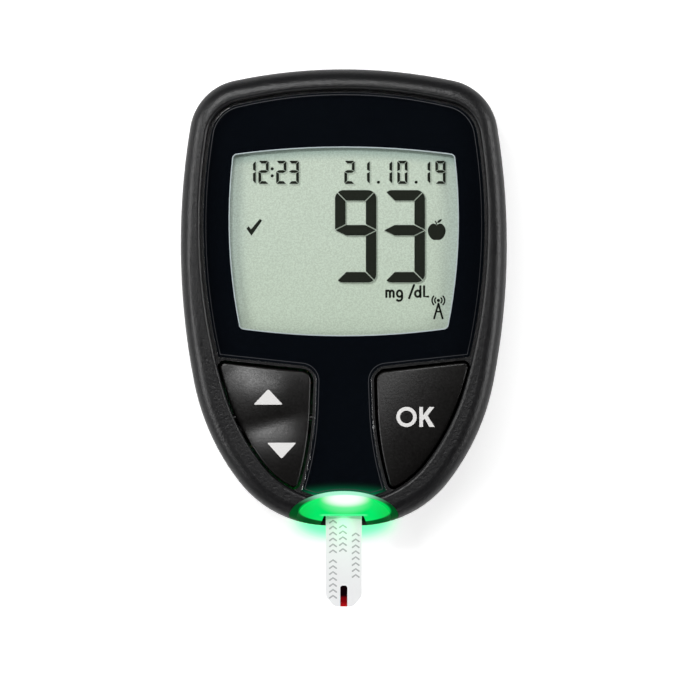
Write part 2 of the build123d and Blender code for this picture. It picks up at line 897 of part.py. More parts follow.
with BuildPart() as board_screws:
    with BuildSketch(Plane.XY.offset(board_top)):
        with Locations(board_screw_places):
            Circle(board_screw_head_radius)
    extrude(amount=board_screw_head_height)
    with BuildSketch(Plane.XY.offset(board_top - board_screw_length)):
        with Locations(board_screw_places):
            Circle(board_screw_radius)
    extrude(amount=board_screw_length)

board_screws.part.label = "board_screws"
export_step(board_screws.part, "parts/board_screws.step")

with BuildPart() as microcontroller:
    with BuildSketch(Plane.XY.offset(board_top)):
        with Locations(processor_place):
            Rectangle(processor_size, processor_size)
    extrude(amount=processor_height)
    chamfer(microcontroller.faces().sort_by(Axis.Z)[-1].edges(), processor_chamfer)

microcontroller.part.label = "microcontroller"
export_step(microcontroller.part, "parts/microcontroller.step")

with BuildPart() as memory_chip:
    with BuildSketch(Plane.XY.offset(board_top)):
        with Locations(memory_place):
            Rectangle(memory_length, memory_width)
    extrude(amount=memory_height)
    chamfer(memory_chip.faces().sort_by(Axis.Z)[-1].edges(), processor_chamfer)

memory_chip.part.label = "memory_chip"
export_step(memory_chip.part, "parts/memory_chip.step")

with BuildPart() as clock_crystal:
    with BuildSketch(Plane.XY.offset(board_top)):
        with Locations(crystal_place):
            RectangleRounded(crystal_length, crystal_width, crystal_width / 4)
    extrude(amount=crystal_height)

clock_crystal.part.label = "clock_crystal"
export_step(clock_crystal.part, "parts/clock_crystal.step")

with BuildPart() as radio_module:
    with BuildSketch(Plane.XY.offset(board_top)):
        with Locations(radio_place):
            Rectangle(radio_length, radio_width)
    extrude(amount=radio_board)
    with BuildSketch(Plane.XY.offset(board_top + radio_board)):
        with Locations((radio_place[0] + radio_aerial / 2, radio_place[1])):
            can_length = radio_length - radio_aerial - 2 * radio_can_margin
            RectangleRounded(can_length, radio_width - 2 * radio_can_margin, radio_can_margin)
    extrude(amount=radio_can_height)

radio_module.part.label = "radio_module"
export_step(radio_module.part, "parts/radio_module.step")

with BuildPart() as chip_parts:
    with BuildSketch(Plane.XY.offset(board_top)):
        with Locations(*chip_places):
            Rectangle(chip_length, chip_width)
    extrude(amount=chip_height)

chip_parts.part.label = "chip_parts"
export_step(chip_parts.part, "parts/chip_parts.step")

with BuildPart() as buzzer:
    with BuildSketch(Plane.XY.offset(board_top)):
        with Locations(buzzer_place):
            Circle(buzzer_radius)
    extrude(amount=buzzer_height)
    with BuildSketch(Plane.XY.offset(board_top + buzzer_height - buzzer_hole_depth)):
        with Locations(buzzer_place):
            Circle(buzzer_hole)
    extrude(amount=buzzer_hole_depth, mode=Mode.SUBTRACT)

buzzer.part.label = "buzzer"
export_step(buzzer.part, "parts/buzzer.step")

# ---- Display stack ----


def plate(bottom_z, height, low_y, half_width):
    # Flat pane of the display, from low_y to the top of the glass
    with BuildPart() as pane:
        with BuildSketch(Plane.XY.offset(bottom_z)):
            with Locations((0, low_y)):
                Rectangle(2 * half_width, glass_top - low_y, align=(Align.CENTER, Align.MIN))
        extrude(amount=height)
    return pane.part


lcd_polariser = plate(polariser_top - polariser_thickness, polariser_thickness, glass_bottom, glass_half_width)
lcd_polariser.label = "lcd_polariser"
export_step(lcd_polariser, "parts/lcd_polariser.step")

lcd_top_glass = plate(top_glass_bottom, glass_thickness, glass_bottom, glass_half_width)
lcd_top_glass.label = "lcd_top_glass"
export_step(lcd_top_glass, "parts/lcd_top_glass.step")

lcd_bottom_glass = plate(low_glass_bottom, glass_thickness, glass_bottom + contact_ledge, glass_half_width)
lcd_bottom_glass.label = "lcd_bottom_glass"
export_step(lcd_bottom_glass, "parts/lcd_bottom_glass.step")

lcd_reflector = plate(reflector_bottom, reflector_thickness, glass_bottom + contact_ledge, glass_half_width)
lcd_reflector.label = "lcd_reflector"
export_step(lcd_reflector, "parts/lcd_reflector.step")

with BuildPart() as lcd_frame:
    frame_low_y = glass_bottom - glass_clearance - frame_wall
    frame_high_y = glass_top + glass_clearance + frame_wall
    with BuildSketch(Plane.XY.offset(board_top)):
        with Locations((0, frame_low_y)):
            Rectangle(2 * frame_half_width, frame_high_y - frame_low_y, align=(Align.CENTER, Align.MIN))
    extrude(amount=polariser_top - board_top)
    # Pocket of the glass
    with BuildSketch(Plane.XY.offset(shelf_z)):
        with Locations((0, frame_low_y + frame_wall)):
            pocket_height = frame_high_y - frame_low_y - 2 * frame_wall
            pocket_width = 2 * (frame_half_width - frame_wall)
            Rectangle(pocket_width, pocket_height, align=(Align.CENTER, Align.MIN))
    extrude(amount=polariser_top - shelf_z, mode=Mode.SUBTRACT)
    # Well over the board parts, and the slot of the elastomer strip
    with BuildSketch(Plane.XY.offset(board_top)):
        with Locations((0, glass_bottom + contact_ledge + frame_shelf)):
            well_height = glass_top - glass_bottom - contact_ledge - 2 * frame_shelf
            Rectangle(2 * (glass_half_width - frame_shelf), well_height, align=(Align.CENTER, Align.MIN))
        with Locations((0, zebra_y)):
            Rectangle(2 * (zebra_half_length + glass_clearance), zebra_width + 2 * glass_clearance)
    extrude(amount=shelf_z - board_top, mode=Mode.SUBTRACT)

lcd_frame.part.label = "lcd_frame"
export_step(lcd_frame.part, "parts/lcd_frame.step")

with BuildPart() as zebra_connector:
    with BuildSketch(Plane.XY.offset(board_top)):
        with Locations((0, zebra_y)):
            Rectangle(2 * zebra_half_length, zebra_width)
    extrude(amount=top_glass_bottom - board_top)

zebra_connector.part.label = "zebra_connector"
export_step(zebra_connector.part, "parts/zebra_connector.step")

# ---- Strip port ----

with BuildPart() as port_light_guide:
    add(guide_outside)
    add(guide_inside, mode=Mode.SUBTRACT)
    add(front_blank.part, mode=Mode.INTERSECT)
    add(slot_tool.part, mode=Mode.SUBTRACT)
    add(mouth_tool.part, mode=Mode.SUBTRACT)

port_light_guide.part.label = "port_light_guide"
export_step(port_light_guide.part, "parts/port_light_guide.step")

with BuildPart() as port_lamps:
    with BuildSketch(Plane.XY.offset(board_top)):
        with Locations((-lamp_x, lamp_y), (lamp_x, lamp_y)):
            Rectangle(lamp_length, lamp_width)
    extrude(amount=lamp_height)

port_lamps.part.label = "port_lamps"
export_step(port_lamps.part, "parts/port_lamps.step")

with BuildPart() as strip_socket:
    with BuildSketch(Plane.XY.offset(board_top)):
        with Locations((0, socket_front_y)):
            Rectangle(socket_width, socket_back_y - socket_front_y, align=(Align.CENTER, Align.MIN))
    extrude(amount=slot_bottom + slot_height + socket_roof - board_top)
    with BuildSketch(Plane.XY.offset(slot_bottom)):
        with Locations((0, socket_front_y)):
            slot_length = socket_back_y - socket_back_wall - socket_front_y
            Rectangle(strip_width + 2 * slot_clearance, slot_length, align=(Align.CENTER, Align.MIN))
    extrude(amount=slot_height, mode=Mode.SUBTRACT)
    # Channels of the springs
    with BuildSketch(Plane.XY.offset(board_top)):
        with Locations((0, socket_front_y + slot_length / 2)):
            with GridLocations(track_pitch, 0, track_count, 1):
                Rectangle(spring_channel, slot_length)
    extrude(amount=slot_bottom - board_top, mode=Mode.SUBTRACT)

strip_socket.part.label = "strip_socket"
export_step(strip_socket.part, "parts/strip_socket.step")

with BuildPart() as strip_contacts:
    for place in GridLocations(track_pitch, 0, track_count, 1):
        with BuildSketch(Plane.YZ.offset(place.position.X - spring_width / 2)):
            with BuildLine():
                foot_z = board_top + spring_foil / 2
                crest_z = strip_bottom - track_thickness - spring_play - spring_foil / 2
                FilletPolyline(
                    (socket_front_y + spring_foot, foot_z),
                    (socket_front_y + spring_heel, foot_z),
                    (socket_front_y + spring_crest, crest_z),
                    (socket_front_y + spring_nose, crest_z - spring_dip),
                    radius=spring_bend,
                )
            trace(line_width=spring_foil)
        extrude(amount=spring_width)

strip_contacts.part.label = "strip_contacts"
export_step(strip_contacts.part, "parts/strip_contacts.step")

# ---- Test strip ----

with BuildPart() as strip_base:
    with BuildSketch(Plane.XY.offset(strip_bottom)):
        add(strip_shape.sketch)
    extrude(amount=base_thickness)

strip_base.part.label = "strip_base"
export_step(strip_base.part, "parts/strip_base.step")

with BuildPart() as strip_tracks:
    with BuildSketch(Plane.XY.offset(strip_bottom - track_thickness)):
        with Locations((0, strip_tip_y + track_margin)):
            with GridLocations(track_pitch, 0, track_count, 1):
                Rectangle(track_width, strip_length - track_margin - strip_corner, align=(Align.CENTER, Align.MIN))
    extrude(amount=track_thickness)

strip_tracks.part.label = "strip_tracks"
export_step(strip_tracks.part, "parts/strip_tracks.step")

with BuildSketch() as channel_shape:
    with Locations((0, strip_tip_y)):
        Rectangle(channel_width, channel_length, align=(Align.CENTER, Align.MIN))
    fillet(channel_shape.vertices().group_by(Axis.Y)[-1], channel_round)

with BuildPart() as strip_spacer:
    with BuildSketch(Plane.XY.offset(strip_bottom + base_thickness)):
        add(strip_shape.sketch)
        add(channel_shape.sketch, mode=Mode.SUBTRACT)
    extrude(amount=spacer_thickness)

strip_spacer.part.label = "strip_spacer"
export_step(strip_spacer.part, "parts/strip_spacer.step")

with BuildPart() as strip_sample:
    with BuildSketch(Plane.XY.offset(strip_bottom + base_thickness)):
        add(channel_shape.sketch)
        add(strip_shape.sketch, mode=Mode.INTERSECT)
    extrude(amount=spacer_thickness)

strip_sample.part.label = "strip_sample"
export_step(strip_sample.part, "parts/strip_sample.step")

with BuildPart() as strip_cover:
    with BuildSketch(Plane.XY.offset(strip_top - cover_thickness)):
        add(strip_shape.sketch)
        add(channel_shape.sketch, mode=Mode.SUBTRACT)
    extrude(amount=cover_thickness)

strip_cover.part.label = "strip_cover"
export_step(strip_cover.part, "parts/strip_cover.step")
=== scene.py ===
import bmesh
import bpy
import math
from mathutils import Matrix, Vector


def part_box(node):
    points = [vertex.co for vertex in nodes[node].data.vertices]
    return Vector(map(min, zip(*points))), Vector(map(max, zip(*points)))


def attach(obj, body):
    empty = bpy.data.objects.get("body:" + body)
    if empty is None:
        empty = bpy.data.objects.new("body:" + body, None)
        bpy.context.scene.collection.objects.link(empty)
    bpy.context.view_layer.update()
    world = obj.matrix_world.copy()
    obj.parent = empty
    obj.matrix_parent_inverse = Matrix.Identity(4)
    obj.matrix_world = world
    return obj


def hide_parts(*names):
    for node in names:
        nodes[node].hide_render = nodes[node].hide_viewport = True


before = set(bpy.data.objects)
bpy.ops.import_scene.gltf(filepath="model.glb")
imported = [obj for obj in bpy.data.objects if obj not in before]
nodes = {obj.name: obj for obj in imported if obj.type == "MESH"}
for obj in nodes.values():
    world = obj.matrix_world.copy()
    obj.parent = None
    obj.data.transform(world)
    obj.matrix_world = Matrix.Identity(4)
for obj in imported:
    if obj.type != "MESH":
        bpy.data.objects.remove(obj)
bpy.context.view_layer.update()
scene = bpy.context.scene
scene.view_settings.view_transform = "Standard"
mm = 0.001
print("frame in,", len(nodes), "CAD pieces")


class Wire:  # a node's output, so that shader maths reads as plain maths
    def __init__(self, recipe, socket):
        self.recipe = recipe
        self.socket = socket

    def maths(self, operation, first, second):
        return self.recipe.node("ShaderNodeMath", {"operation": operation}, {0: first, 1: second})

    def __add__(self, other):
        return self.maths("ADD", self, other)

    def __radd__(self, other):
        return self.maths("ADD", other, self)

    def __sub__(self, other):
        return self.maths("SUBTRACT", self, other)

    def __rsub__(self, other):
        return self.maths("SUBTRACT", other, self)

    def __mul__(self, other):
        return self.maths("MULTIPLY", self, other)

    def __rmul__(self, other):
        return self.maths("MULTIPLY", other, self)

    def __truediv__(self, other):
        return self.maths("DIVIDE", self, other)

    def __pow__(self, other):
        return self.maths("POWER", self, other)


class Recipe:  # the nodes of one material, or of the world, while they are being written
    def __init__(self, owner):
        owner.use_nodes = True
        self.owner = owner
        self.tree = owner.node_tree
        self.tree.nodes.clear()

    def node(self, kind, settings=None, sockets=None, out=0):
        made = self.tree.nodes.new(kind)
        for key, value in (settings or {}).items():
            setattr(made, key, value)
        for key, value in (sockets or {}).items():
            if isinstance(value, Wire):
                self.tree.links.new(value.socket, made.inputs[key])
            elif isinstance(value, tuple) and len(made.inputs[key].default_value) == 4:
                made.inputs[key].default_value = (*value, 1.0)
            else:
                made.inputs[key].default_value = value
        return Wire(self, made.outputs[out]) if made.outputs else made

    def place(self, stretch=(1, 1, 1)):  # the piece's own coordinates, in millimetres
        own = self.node("ShaderNodeTexCoord", out="Object")
        scale = tuple(share / mm for share in stretch)
        return self.node("ShaderNodeVectorMath", {"operation": "MULTIPLY"}, {0: own, 1: scale})

    def axis(self, letter):
        return self.node("ShaderNodeSeparateXYZ", None, {0: self.place()}, out=letter)

    def noise(self, place, scale, detail=2.0, roughness=0.5):
        sockets = {"Vector": place, "Scale": scale, "Detail": detail, "Roughness": roughness}
        return self.node("ShaderNodeTexNoise", None, sockets)

    def cells(self, place, scale):
        return self.node("ShaderNodeTexVoronoi", None, {"Vector": place, "Scale": scale}, out="Distance")

    def zigzag(self, value, reach):
        return self.node("ShaderNodeMath", {"operation": "PINGPONG"}, {0: value, 1: reach})

    def limit(self, value, low, high, first=0.0, last=1.0):  # smooth step from first to last
        sockets = {"Value": value, "From Min": low, "From Max": high, "To Min": first, "To Max": last}
        return self.node("ShaderNodeMapRange", {"interpolation_type": "SMOOTHSTEP"}, sockets)

    def blend(self, share, first, second, mode="MIX"):
        settings = {"data_type": "RGBA", "blend_type": mode, "clamp_factor": True}
        return self.node("ShaderNodeMix", settings, {0: share, 6: first, 7: second}, out=2)

    def bump(self, height, depth):  # depth in millimetres
        return self.node("ShaderNodeBump", None, {"Height": height, "Distance": depth * mm})

    def principled(self, sockets):
        return self.node("ShaderNodeBsdfPrincipled", None, sockets)

    def seenThrough(self, share, shader):  # shader over a perfectly clear ground
        clear = self.node("ShaderNodeBsdfTransparent", None, {"Color": (1, 1, 1)})
        return self.node("ShaderNodeMixShader", None, {0: share, 1: clear, 2: shader})

    def show(self, shader, output="ShaderNodeOutputMaterial"):
        self.node(output, None, {"Surface": shader})
        return self.owner

    def finish(self, look, colour, grain, others=None, height=None):
        # One surface from its dictionary, whose fixed sockets are the same all over
        sockets = {"Base Color": colour, "Roughness": look["rough"] + grain * look["spread"],
                   **look.get("fixed", {}), **(others or {})}
        if "depth" in look:
            sockets["Normal"] = self.bump(height or grain, look["depth"])
        return self.show(self.principled(sockets))


def material(name, make, *look):
    return make(Recipe(bpy.data.materials.new(name)), *look)


moulded = {
    "caseBlack": {"low": (0.0018, 0.0018, 0.0024), "high": (0.0060, 0.0058, 0.0066), "rough": 0.36,
                  "grain": 2.3, "depth": 0.055, "gloss": 0.45},
    "keyBlack": {"low": (0.0022, 0.0019, 0.0018), "high": (0.0062, 0.0054, 0.0050), "rough": 0.33,
                 "grain": 2.6, "depth": 0.016, "gloss": 0.43},
    "socketBlack": {"low": (0.012, 0.012, 0.012), "high": (0.02, 0.02, 0.02), "rough": 0.38,
                    "grain": 6.0, "depth": 0.005, "gloss": 0.5},
    "frameWhite": {"low": (0.70, 0.70, 0.67), "high": (0.80, 0.80, 0.77), "rough": 0.40,
                   "grain": 4.0, "depth": 0.005, "gloss": 0.5},
    "chipBlack": {"low": (0.016, 0.016, 0.017), "high": (0.035, 0.035, 0.036), "rough": 0.55,
                  "grain": 12.0, "depth": 0.012, "gloss": 0.4},
}
pebble = {"roughness": 0.6, "spread": 0.22, "cloudScale": 0.16, "cloudShare": 0.6, "cloudSpread": 0.06,
          "speckScale": 1.7, "speckShare": 0.4, "speckEdge": (0.45, 0.75)}


def makeMoulded(r, look):  # spark-eroded plastic: a fine pebble with soft clouds of tone
    place = r.place()
    grain = r.noise(place, look["grain"], detail=3.0, roughness=pebble["roughness"])
    cloud = r.noise(place, pebble["cloudScale"], detail=3.0)
    speck = r.limit(r.noise(place, look["grain"] * pebble["speckScale"], detail=1.0), *pebble["speckEdge"])
    colour = r.blend(cloud * pebble["cloudShare"] + speck * pebble["speckShare"], look["low"], look["high"])
    rough = look["rough"] + (grain - 0.5) * pebble["spread"] + (cloud - 0.5) * pebble["cloudSpread"]
    sockets = {"Base Color": colour, "Roughness": rough, "Specular IOR Level": look["gloss"],
               "Normal": r.bump(grain, look["depth"])}
    return r.show(r.principled(sockets))


metals = {
    "screwSteel": {"colour": (0.34, 0.34, 0.35), "rough": 0.34, "grain": (9, 9, 1.0)},
    "cellSteel": {"colour": (0.60, 0.60, 0.59), "rough": 0.26, "grain": (0.6, 14, 1.0)},
    "canSilver": {"colour": (0.66, 0.66, 0.65), "rough": 0.30, "grain": (14, 0.8, 1.0)},
    "contactMetal": {"colour": (0.62, 0.60, 0.55), "rough": 0.28, "grain": (1.0, 12, 1.0)},
    "contactGold": {"colour": (0.80, 0.56, 0.22), "rough": 0.24, "grain": (10, 1.0, 1.0)},
    "domeSteel": {"colour": (0.64, 0.63, 0.61), "rough": 0.22, "grain": (6, 6, 1.0)},
}
sheet = {"roughness": 0.65, "stainScale": 0.35, "dark": 0.72, "spread": 0.16, "stainSpread": 0.12,
         "depth": 0.004}


def makeMetal(r, look):  # drawn or stamped sheet: fine streaks along the grain
    streak = r.noise(r.place(look["grain"]), 1.0, detail=4.0, roughness=sheet["roughness"])
    stain = r.noise(r.place(), sheet["stainScale"], detail=3.0)
    dark = tuple(channel * sheet["dark"] for channel in look["colour"])
    colour = r.blend(streak * 0.5 + stain * 0.5, dark, look["colour"])
    rough = look["rough"] + (streak - 0.5) * sheet["spread"] + (stain - 0.5) * sheet["stainSpread"]
    sockets = {"Base Color": colour, "Metallic": 1.0, "Roughness": rough,
               "Normal": r.bump(streak, sheet["depth"])}
    return r.show(r.principled(sockets))


# Even finishes that differ only in grain, tone and gloss; the prints are dense ink with tiny pinholes
printed = {"grain": 6.0, "detail": 3.0, "rough": 0.45, "spread": 0.15, "depth": 0.003}
grained = {
    "segmentInk": {"grain": 4.0, "detail": 2.0, "low": (0.007, 0.010, 0.006), "high": (0.015, 0.018, 0.012),
                   "rough": 0.5, "spread": 0.1, "fixed": {"Specular IOR Level": 0.1}},
    "displayGlass": {"grain": 0.2, "detail": 1.0, "low": (0.55, 0.66, 0.60), "high": (0.64, 0.74, 0.68),
                     "rough": 0.05, "spread": 0.04, "fixed": {"Coat Weight": 0.5}},
    "displaySilver": {"grain": 2.5, "detail": 3.0, "low": (0.52, 0.55, 0.52), "high": (0.68, 0.70, 0.67),
                      "rough": 0.42, "spread": 0.2, "depth": 0.01, "fixed": {"Metallic": 0.7}},
    "solderParts": {"grain": 5.0, "detail": 2.0, "low": (0.030, 0.026, 0.022), "high": (0.30, 0.22, 0.13),
                    "rough": 0.35, "spread": 0.25, "depth": 0.01},
    "stripWhite": {"grain": 6.0, "detail": 3.0, "low": (0.80, 0.80, 0.80), "high": (0.88, 0.88, 0.89),
                   "rough": 0.36, "spread": 0.15, "depth": 0.003},
    "stripCarbon": {"grain": 8.0, "detail": 3.0, "low": (0.03, 0.03, 0.03), "high": (0.07, 0.07, 0.07),
                    "rough": 0.5, "spread": 0.2},
    "legendWhite": {"low": (0.68, 0.67, 0.66), "high": (0.80, 0.79, 0.78), **printed},
    "stripGrey": {"low": (0.36, 0.36, 0.37), "high": (0.46, 0.46, 0.47), **printed},
    "windowEdge": {"low": (0.42, 0.50, 0.52), "high": (0.62, 0.70, 0.72), **printed},
}


def makeGrained(r, look):
    grain = r.noise(r.place(), look["grain"], detail=look["detail"])
    return r.finish(look, r.blend(grain, look["low"], look["high"]), grain)


clearPanel = {"ior": 1.49, "smudge": 0.12, "rough": 0.03, "smudgeRough": 0.03, "edgeRough": 0.22,
              "edge": (0.999, 0.97)}


def makeLens(r):  # clear moulded faceplate: see-through, with the gloss of its surface
    outside = 1 - r.node("ShaderNodeNewGeometry", out="Backfacing")
    facet = r.node("ShaderNodeNewGeometry", out="True Normal")
    gloss = r.node("ShaderNodeFresnel", None, {"IOR": clearPanel["ior"], "Normal": facet}) * outside
    smudge = r.noise(r.place(), clearPanel["smudge"], detail=3.0)
    rise = r.node("ShaderNodeSeparateXYZ", None, {0: facet}, out="Z")
    bent = r.limit(rise, *clearPanel["edge"])
    rough = clearPanel["rough"] + smudge * clearPanel["smudgeRough"] + bent * clearPanel["edgeRough"]
    shine = r.principled({"Base Color": (1, 1, 1), "Metallic": 1.0, "Roughness": rough, "Normal": facet})
    return r.show(r.seenThrough(gloss, shine))


panelInk = {
    "low": (0.0018, 0.0027, 0.0045), "high": (0.0030, 0.0042, 0.0062), "drift": 0.05, "rough": 0.5,
    "spread": 0.1, "fixed": {"Specular IOR Level": 0.0, "Emission Strength": 1.0},
    "arcTop": -33.35, "arcHalf": 10.2, "arcSag": 1.2,  # upper edge of the port
    # spill: the port's green glow on the ink, painted as emission
    "spill": {"colour": (0.0, 0.15, 0.055), "above": (2.6, -0.4), "across": (1.0, 0.2), "fall": 3.0},
}


def makePanelPrint(r):  # black ink behind the faceplate, with the port's green glow painted at its foot as emission
    drift = r.noise(r.place(), panelInk["drift"])
    ink = r.blend(drift, panelInk["low"], panelInk["high"])
    spill = panelInk["spill"]
    across = (r.axis("X") / panelInk["arcHalf"]) ** 2.0
    above = r.axis("Y") - panelInk["arcTop"] + across * panelInk["arcSag"]
    light = r.limit(above, *spill["above"]) ** spill["fall"] * r.limit(across, *spill["across"])
    return r.finish(panelInk, ink, drift, {"Emission Color": r.blend(light, (0, 0, 0), spill["colour"])})


guide = {
    "body": (0.0, 0.020, 0.006), "drift": 0.42, "rough": 0.3, "spread": 0.15, "depth": 0.01,
    "fixed": {"Specular IOR Level": 0.03, "Emission Strength": 1.0},
    "middle": (0.0, 0.86, 0.150), "sides": (0.0, 0.62, 0.080), "sideways": (16.0, 60.0),
    "cloud": {"colour": (0.0, 0.58, 0.09), "share": 0.4},
    "haze": {"colour": (0.30, 1.0, 0.50), "share": 0.58, "place": (0.3, -35.15), "reach": (5.0, 2.5),
             "core": 0.0},
    "heart": {"colour": (1.0, 1.0, 1.0), "place": (0.3, -34.55), "reach": (4.6, 1.75), "core": 0.05},
    "ledge": {"colour": (0.10, 1.0, 0.36), "share": 0.8, "y": -37.46, "across": (19.0, 11.0),
              "along": (0.050, 0.010)},
    "ring": (0.0, 0.060, 0.008),
    # painted highlight along the ring's upper lip
    "lip": {"colour": (0.42, 0.92, 0.66), "along": (-35.6, -33.9), "across": (42.0, 4.0, 0.30, 1.0)},
    # painted glints at the ring's upper corners
    "glint": {"colour": (0.10, 0.62, 0.26), "places": [(-8.0, -34.95), (8.4, -34.95)], "reach": (0.55, 0.40),
              "core": 0.2},
    "cup": {"centre": (0.2, -36.7), "half": 7.85, "lower": 2.05, "upper": 2.80, "soft": 0.05,
            "rim": (1.06, 0.92)},
}


def makeGuide(r):  # translucent port lit from behind, its glow painted as emission: white-hot at the top, green at the rim, with a painted highlight along its upper lip and painted glints at its upper corners
    x, y = r.axis("X"), r.axis("Y")
    drift = r.noise(r.place(), guide["drift"])

    def spot(look, place):  # soft ellipse: 1 in its middle, 0 past its edge
        across, along = (x - place[0]) / look["reach"][0], (y - place[1]) / look["reach"][1]
        return r.limit(across * across + along * along, 1.0, look["core"])

    cloud, haze, heart, ledge = (guide[part] for part in ("cloud", "haze", "heart", "ledge"))
    lit = r.blend(r.limit(x * x, *guide["sideways"]), guide["middle"], guide["sides"])
    lit = r.blend(drift * cloud["share"], lit, cloud["colour"])
    lit = r.blend(spot(haze, haze["place"]) * haze["share"], lit, haze["colour"])
    lit = r.blend(spot(heart, heart["place"]), lit, heart["colour"])
    drop = y - ledge["y"]
    step = r.limit(x * x, *ledge["across"]) * r.limit(drop * drop, *ledge["along"])
    lit = r.blend(step * ledge["share"], lit, ledge["colour"])

    lip, glint, cup = guide["lip"], guide["glint"], guide["cup"]
    # painted highlight along the ring's upper lip and painted glints at its corners, over the ring's own dim
    # glow
    shine = r.limit(y, *lip["along"]) * r.limit(x * x, *lip["across"])
    ring = r.blend(shine, guide["ring"], lip["colour"])
    left, right = (spot(glint, place) for place in glint["places"])
    ring = r.blend(left + right, ring, glint["colour"])

    middleX, middleY = cup["centre"]
    upper = r.limit(y, middleY - cup["soft"], middleY + cup["soft"])
    across = (x - middleX) / cup["half"]
    along = (y - middleY) / r.limit(upper, 0.0, 1.0, cup["lower"], cup["upper"])
    inside = r.limit(across * across + along * along, *cup["rim"])
    return r.finish(guide, guide["body"], drift, {"Emission Color": r.blend(inside, ring, lit)})


portLamp = {"body": (0.30, 0.75, 0.40), "low": (0.05, 0.9, 0.2), "high": (0.5, 1.0, 0.55), "grain": 2.2,
            "rough": 0.2, "spread": 0.2, "fixed": {"Emission Strength": 2.0}}


def makeLamp(r):
    drift = r.noise(r.place(), portLamp["grain"])
    light = r.blend(drift, portLamp["low"], portLamp["high"])
    return r.finish(portLamp, portLamp["body"], drift, {"Emission Color": light})


film = {
    "low": (0.568, 0.668, 0.560), "high": (0.624, 0.720, 0.608), "cloud": 0.07,
    "foot": {"colour": (0.535, 0.642, 0.515), "share": 0.6, "reach": (14.0, -7.0)},
    # painted lighter, bluer light towards the left and right edges
    "sides": {"colour": (0.560, 0.704, 0.676), "share": 0.5, "reach": (240.0, 400.0)},
    # painted shadow under the window's top edge
    "top": {"colour": (0.330, 0.452, 0.405), "share": 0.75, "reach": (-2.6, -0.7), "y": 25.7, "sag": 0.0035},
    "grain": {"colour": (0.80, 0.81, 0.79), "scale": 3.4, "roughness": 0.7, "reach": (0.36, 0.64)},
    "rough": 0.42, "spread": 0.2, "depth": 0.004,
}


def makeFilm(r):  # front film of the display: a grey-green ground with a very fine grain, darker towards the bottom, with painted lighter, bluer light at the sides and a painted shadow under the window's top edge
    place = r.place()
    x, y = r.axis("X"), r.axis("Y")
    foot, sides, top, fine = (film[part] for part in ("foot", "sides", "top", "grain"))
    grain = r.noise(place, fine["scale"], detail=3.0, roughness=fine["roughness"])
    ground = r.blend(r.noise(place, film["cloud"]), film["low"], film["high"])
    below = y - top["y"] + x * x * top["sag"]  # from the painted shadow's curved upper edge
    for value, part in ((y, foot), (x * x, sides), (below, top)):
        ground = r.blend(r.limit(value, *part["reach"]) * part["share"], ground, part["colour"])
    ground = r.blend(r.limit(grain, *fine["reach"]), ground, fine["colour"], mode="MULTIPLY")
    return r.finish(film, ground, grain)


segmentShade = {"colour": (0.14, 0.17, 0.13), "rough": 0.7, "strength": 0.34}


def makeSegmentShade(r):  # painted soft shadow that the liquid crystal would throw on its reflector, as a see-through dark patch
    shade = r.node("ShaderNodeAttribute", {"attribute_name": "shade"}, out="Fac")
    tint = r.principled({"Base Color": segmentShade["colour"], "Roughness": segmentShade["rough"],
                         "Specular IOR Level": 0.0})
    return r.show(r.seenThrough(shade * segmentShade["strength"], tint))


zebra = {"carbon": (0.03, 0.03, 0.03), "silicone": (0.55, 0.53, 0.50), "pitch": 0.11, "edge": (0.035, 0.06),
         "grain": 3.0, "rough": 0.55, "spread": 0.2}


def makeElastomer(r):  # zebra strip: thin carbon layers between clear silicone
    band = r.limit(r.zigzag(r.axis("X"), zebra["pitch"]), *zebra["edge"])
    colour = r.blend(band, zebra["carbon"], zebra["silicone"])
    return r.finish(zebra, colour, r.noise(r.place(), zebra["grain"]))


board = {
    "mask": (0.004, 0.070, 0.025), "rough": 0.28, "spread": 0.18, "depth": 0.02, "dust": 2.0,
    "fixed": {"Coat Weight": 0.2}, "track": (0.010, 0.135, 0.050), "via": (0.45, 0.34, 0.14),
    "run": {"axis": "X", "pitch": 0.6, "bends": 0.16, "wander": 9.0, "edge": (0.20, 0.27)},
    "rise": {"axis": "Y", "pitch": 0.9, "bends": 0.13, "wander": 8.0, "edge": (0.60, 0.68)},
    "viaScale": 0.42, "viaEdge": (0.14, 0.11),
}


def makeBoard(r):  # green solder mask over copper tracks
    place = r.place()

    def lanes(look):
        bent = r.axis(look["axis"]) + r.noise(place, look["bends"], detail=0.0) * look["wander"]
        return r.limit(r.zigzag(bent, look["pitch"]), *look["edge"])

    track = lanes(board["run"]) * (1 - lanes(board["rise"]))
    via = r.limit(r.cells(place, board["viaScale"]), *board["viaEdge"])
    colour = r.blend(via, r.blend(track, board["mask"], board["track"]), board["via"])
    return r.finish(board, colour, r.noise(place, board["dust"]), height=track + via)


foam = {"low": (0.05, 0.05, 0.055), "high": (0.16, 0.16, 0.165), "cell": 3.2, "edge": (0.05, 0.5),
        "fuzz": 7.0, "fuzzShare": 0.3, "rough": 0.85, "spread": 0.1, "depth": 0.12}


def makeFoam(r):  # open-cell foam
    place = r.place()
    cell = r.cells(place, foam["cell"])
    fuzz = r.noise(place, foam["fuzz"], detail=3.0)
    colour = r.blend(r.limit(cell, *foam["edge"]), foam["low"], foam["high"])
    return r.finish(foam, colour, fuzz, height=cell + fuzz * foam["fuzzShare"])


stripFilm = {"low": (0.82, 0.815, 0.83), "high": (0.88, 0.875, 0.89), "grain": 5.0, "cloud": 0.25,
             "rough": 0.30, "spread": 0.2, "depth": 0.002, "fixed": {"Coat Weight": 0.15}}


def makeStripFilm(r):  # white film on top of the test strip
    place = r.place()
    colour = r.blend(r.noise(place, stripFilm["cloud"]), stripFilm["low"], stripFilm["high"])
    return r.finish(stripFilm, colour, r.noise(place, stripFilm["grain"], detail=3.0))


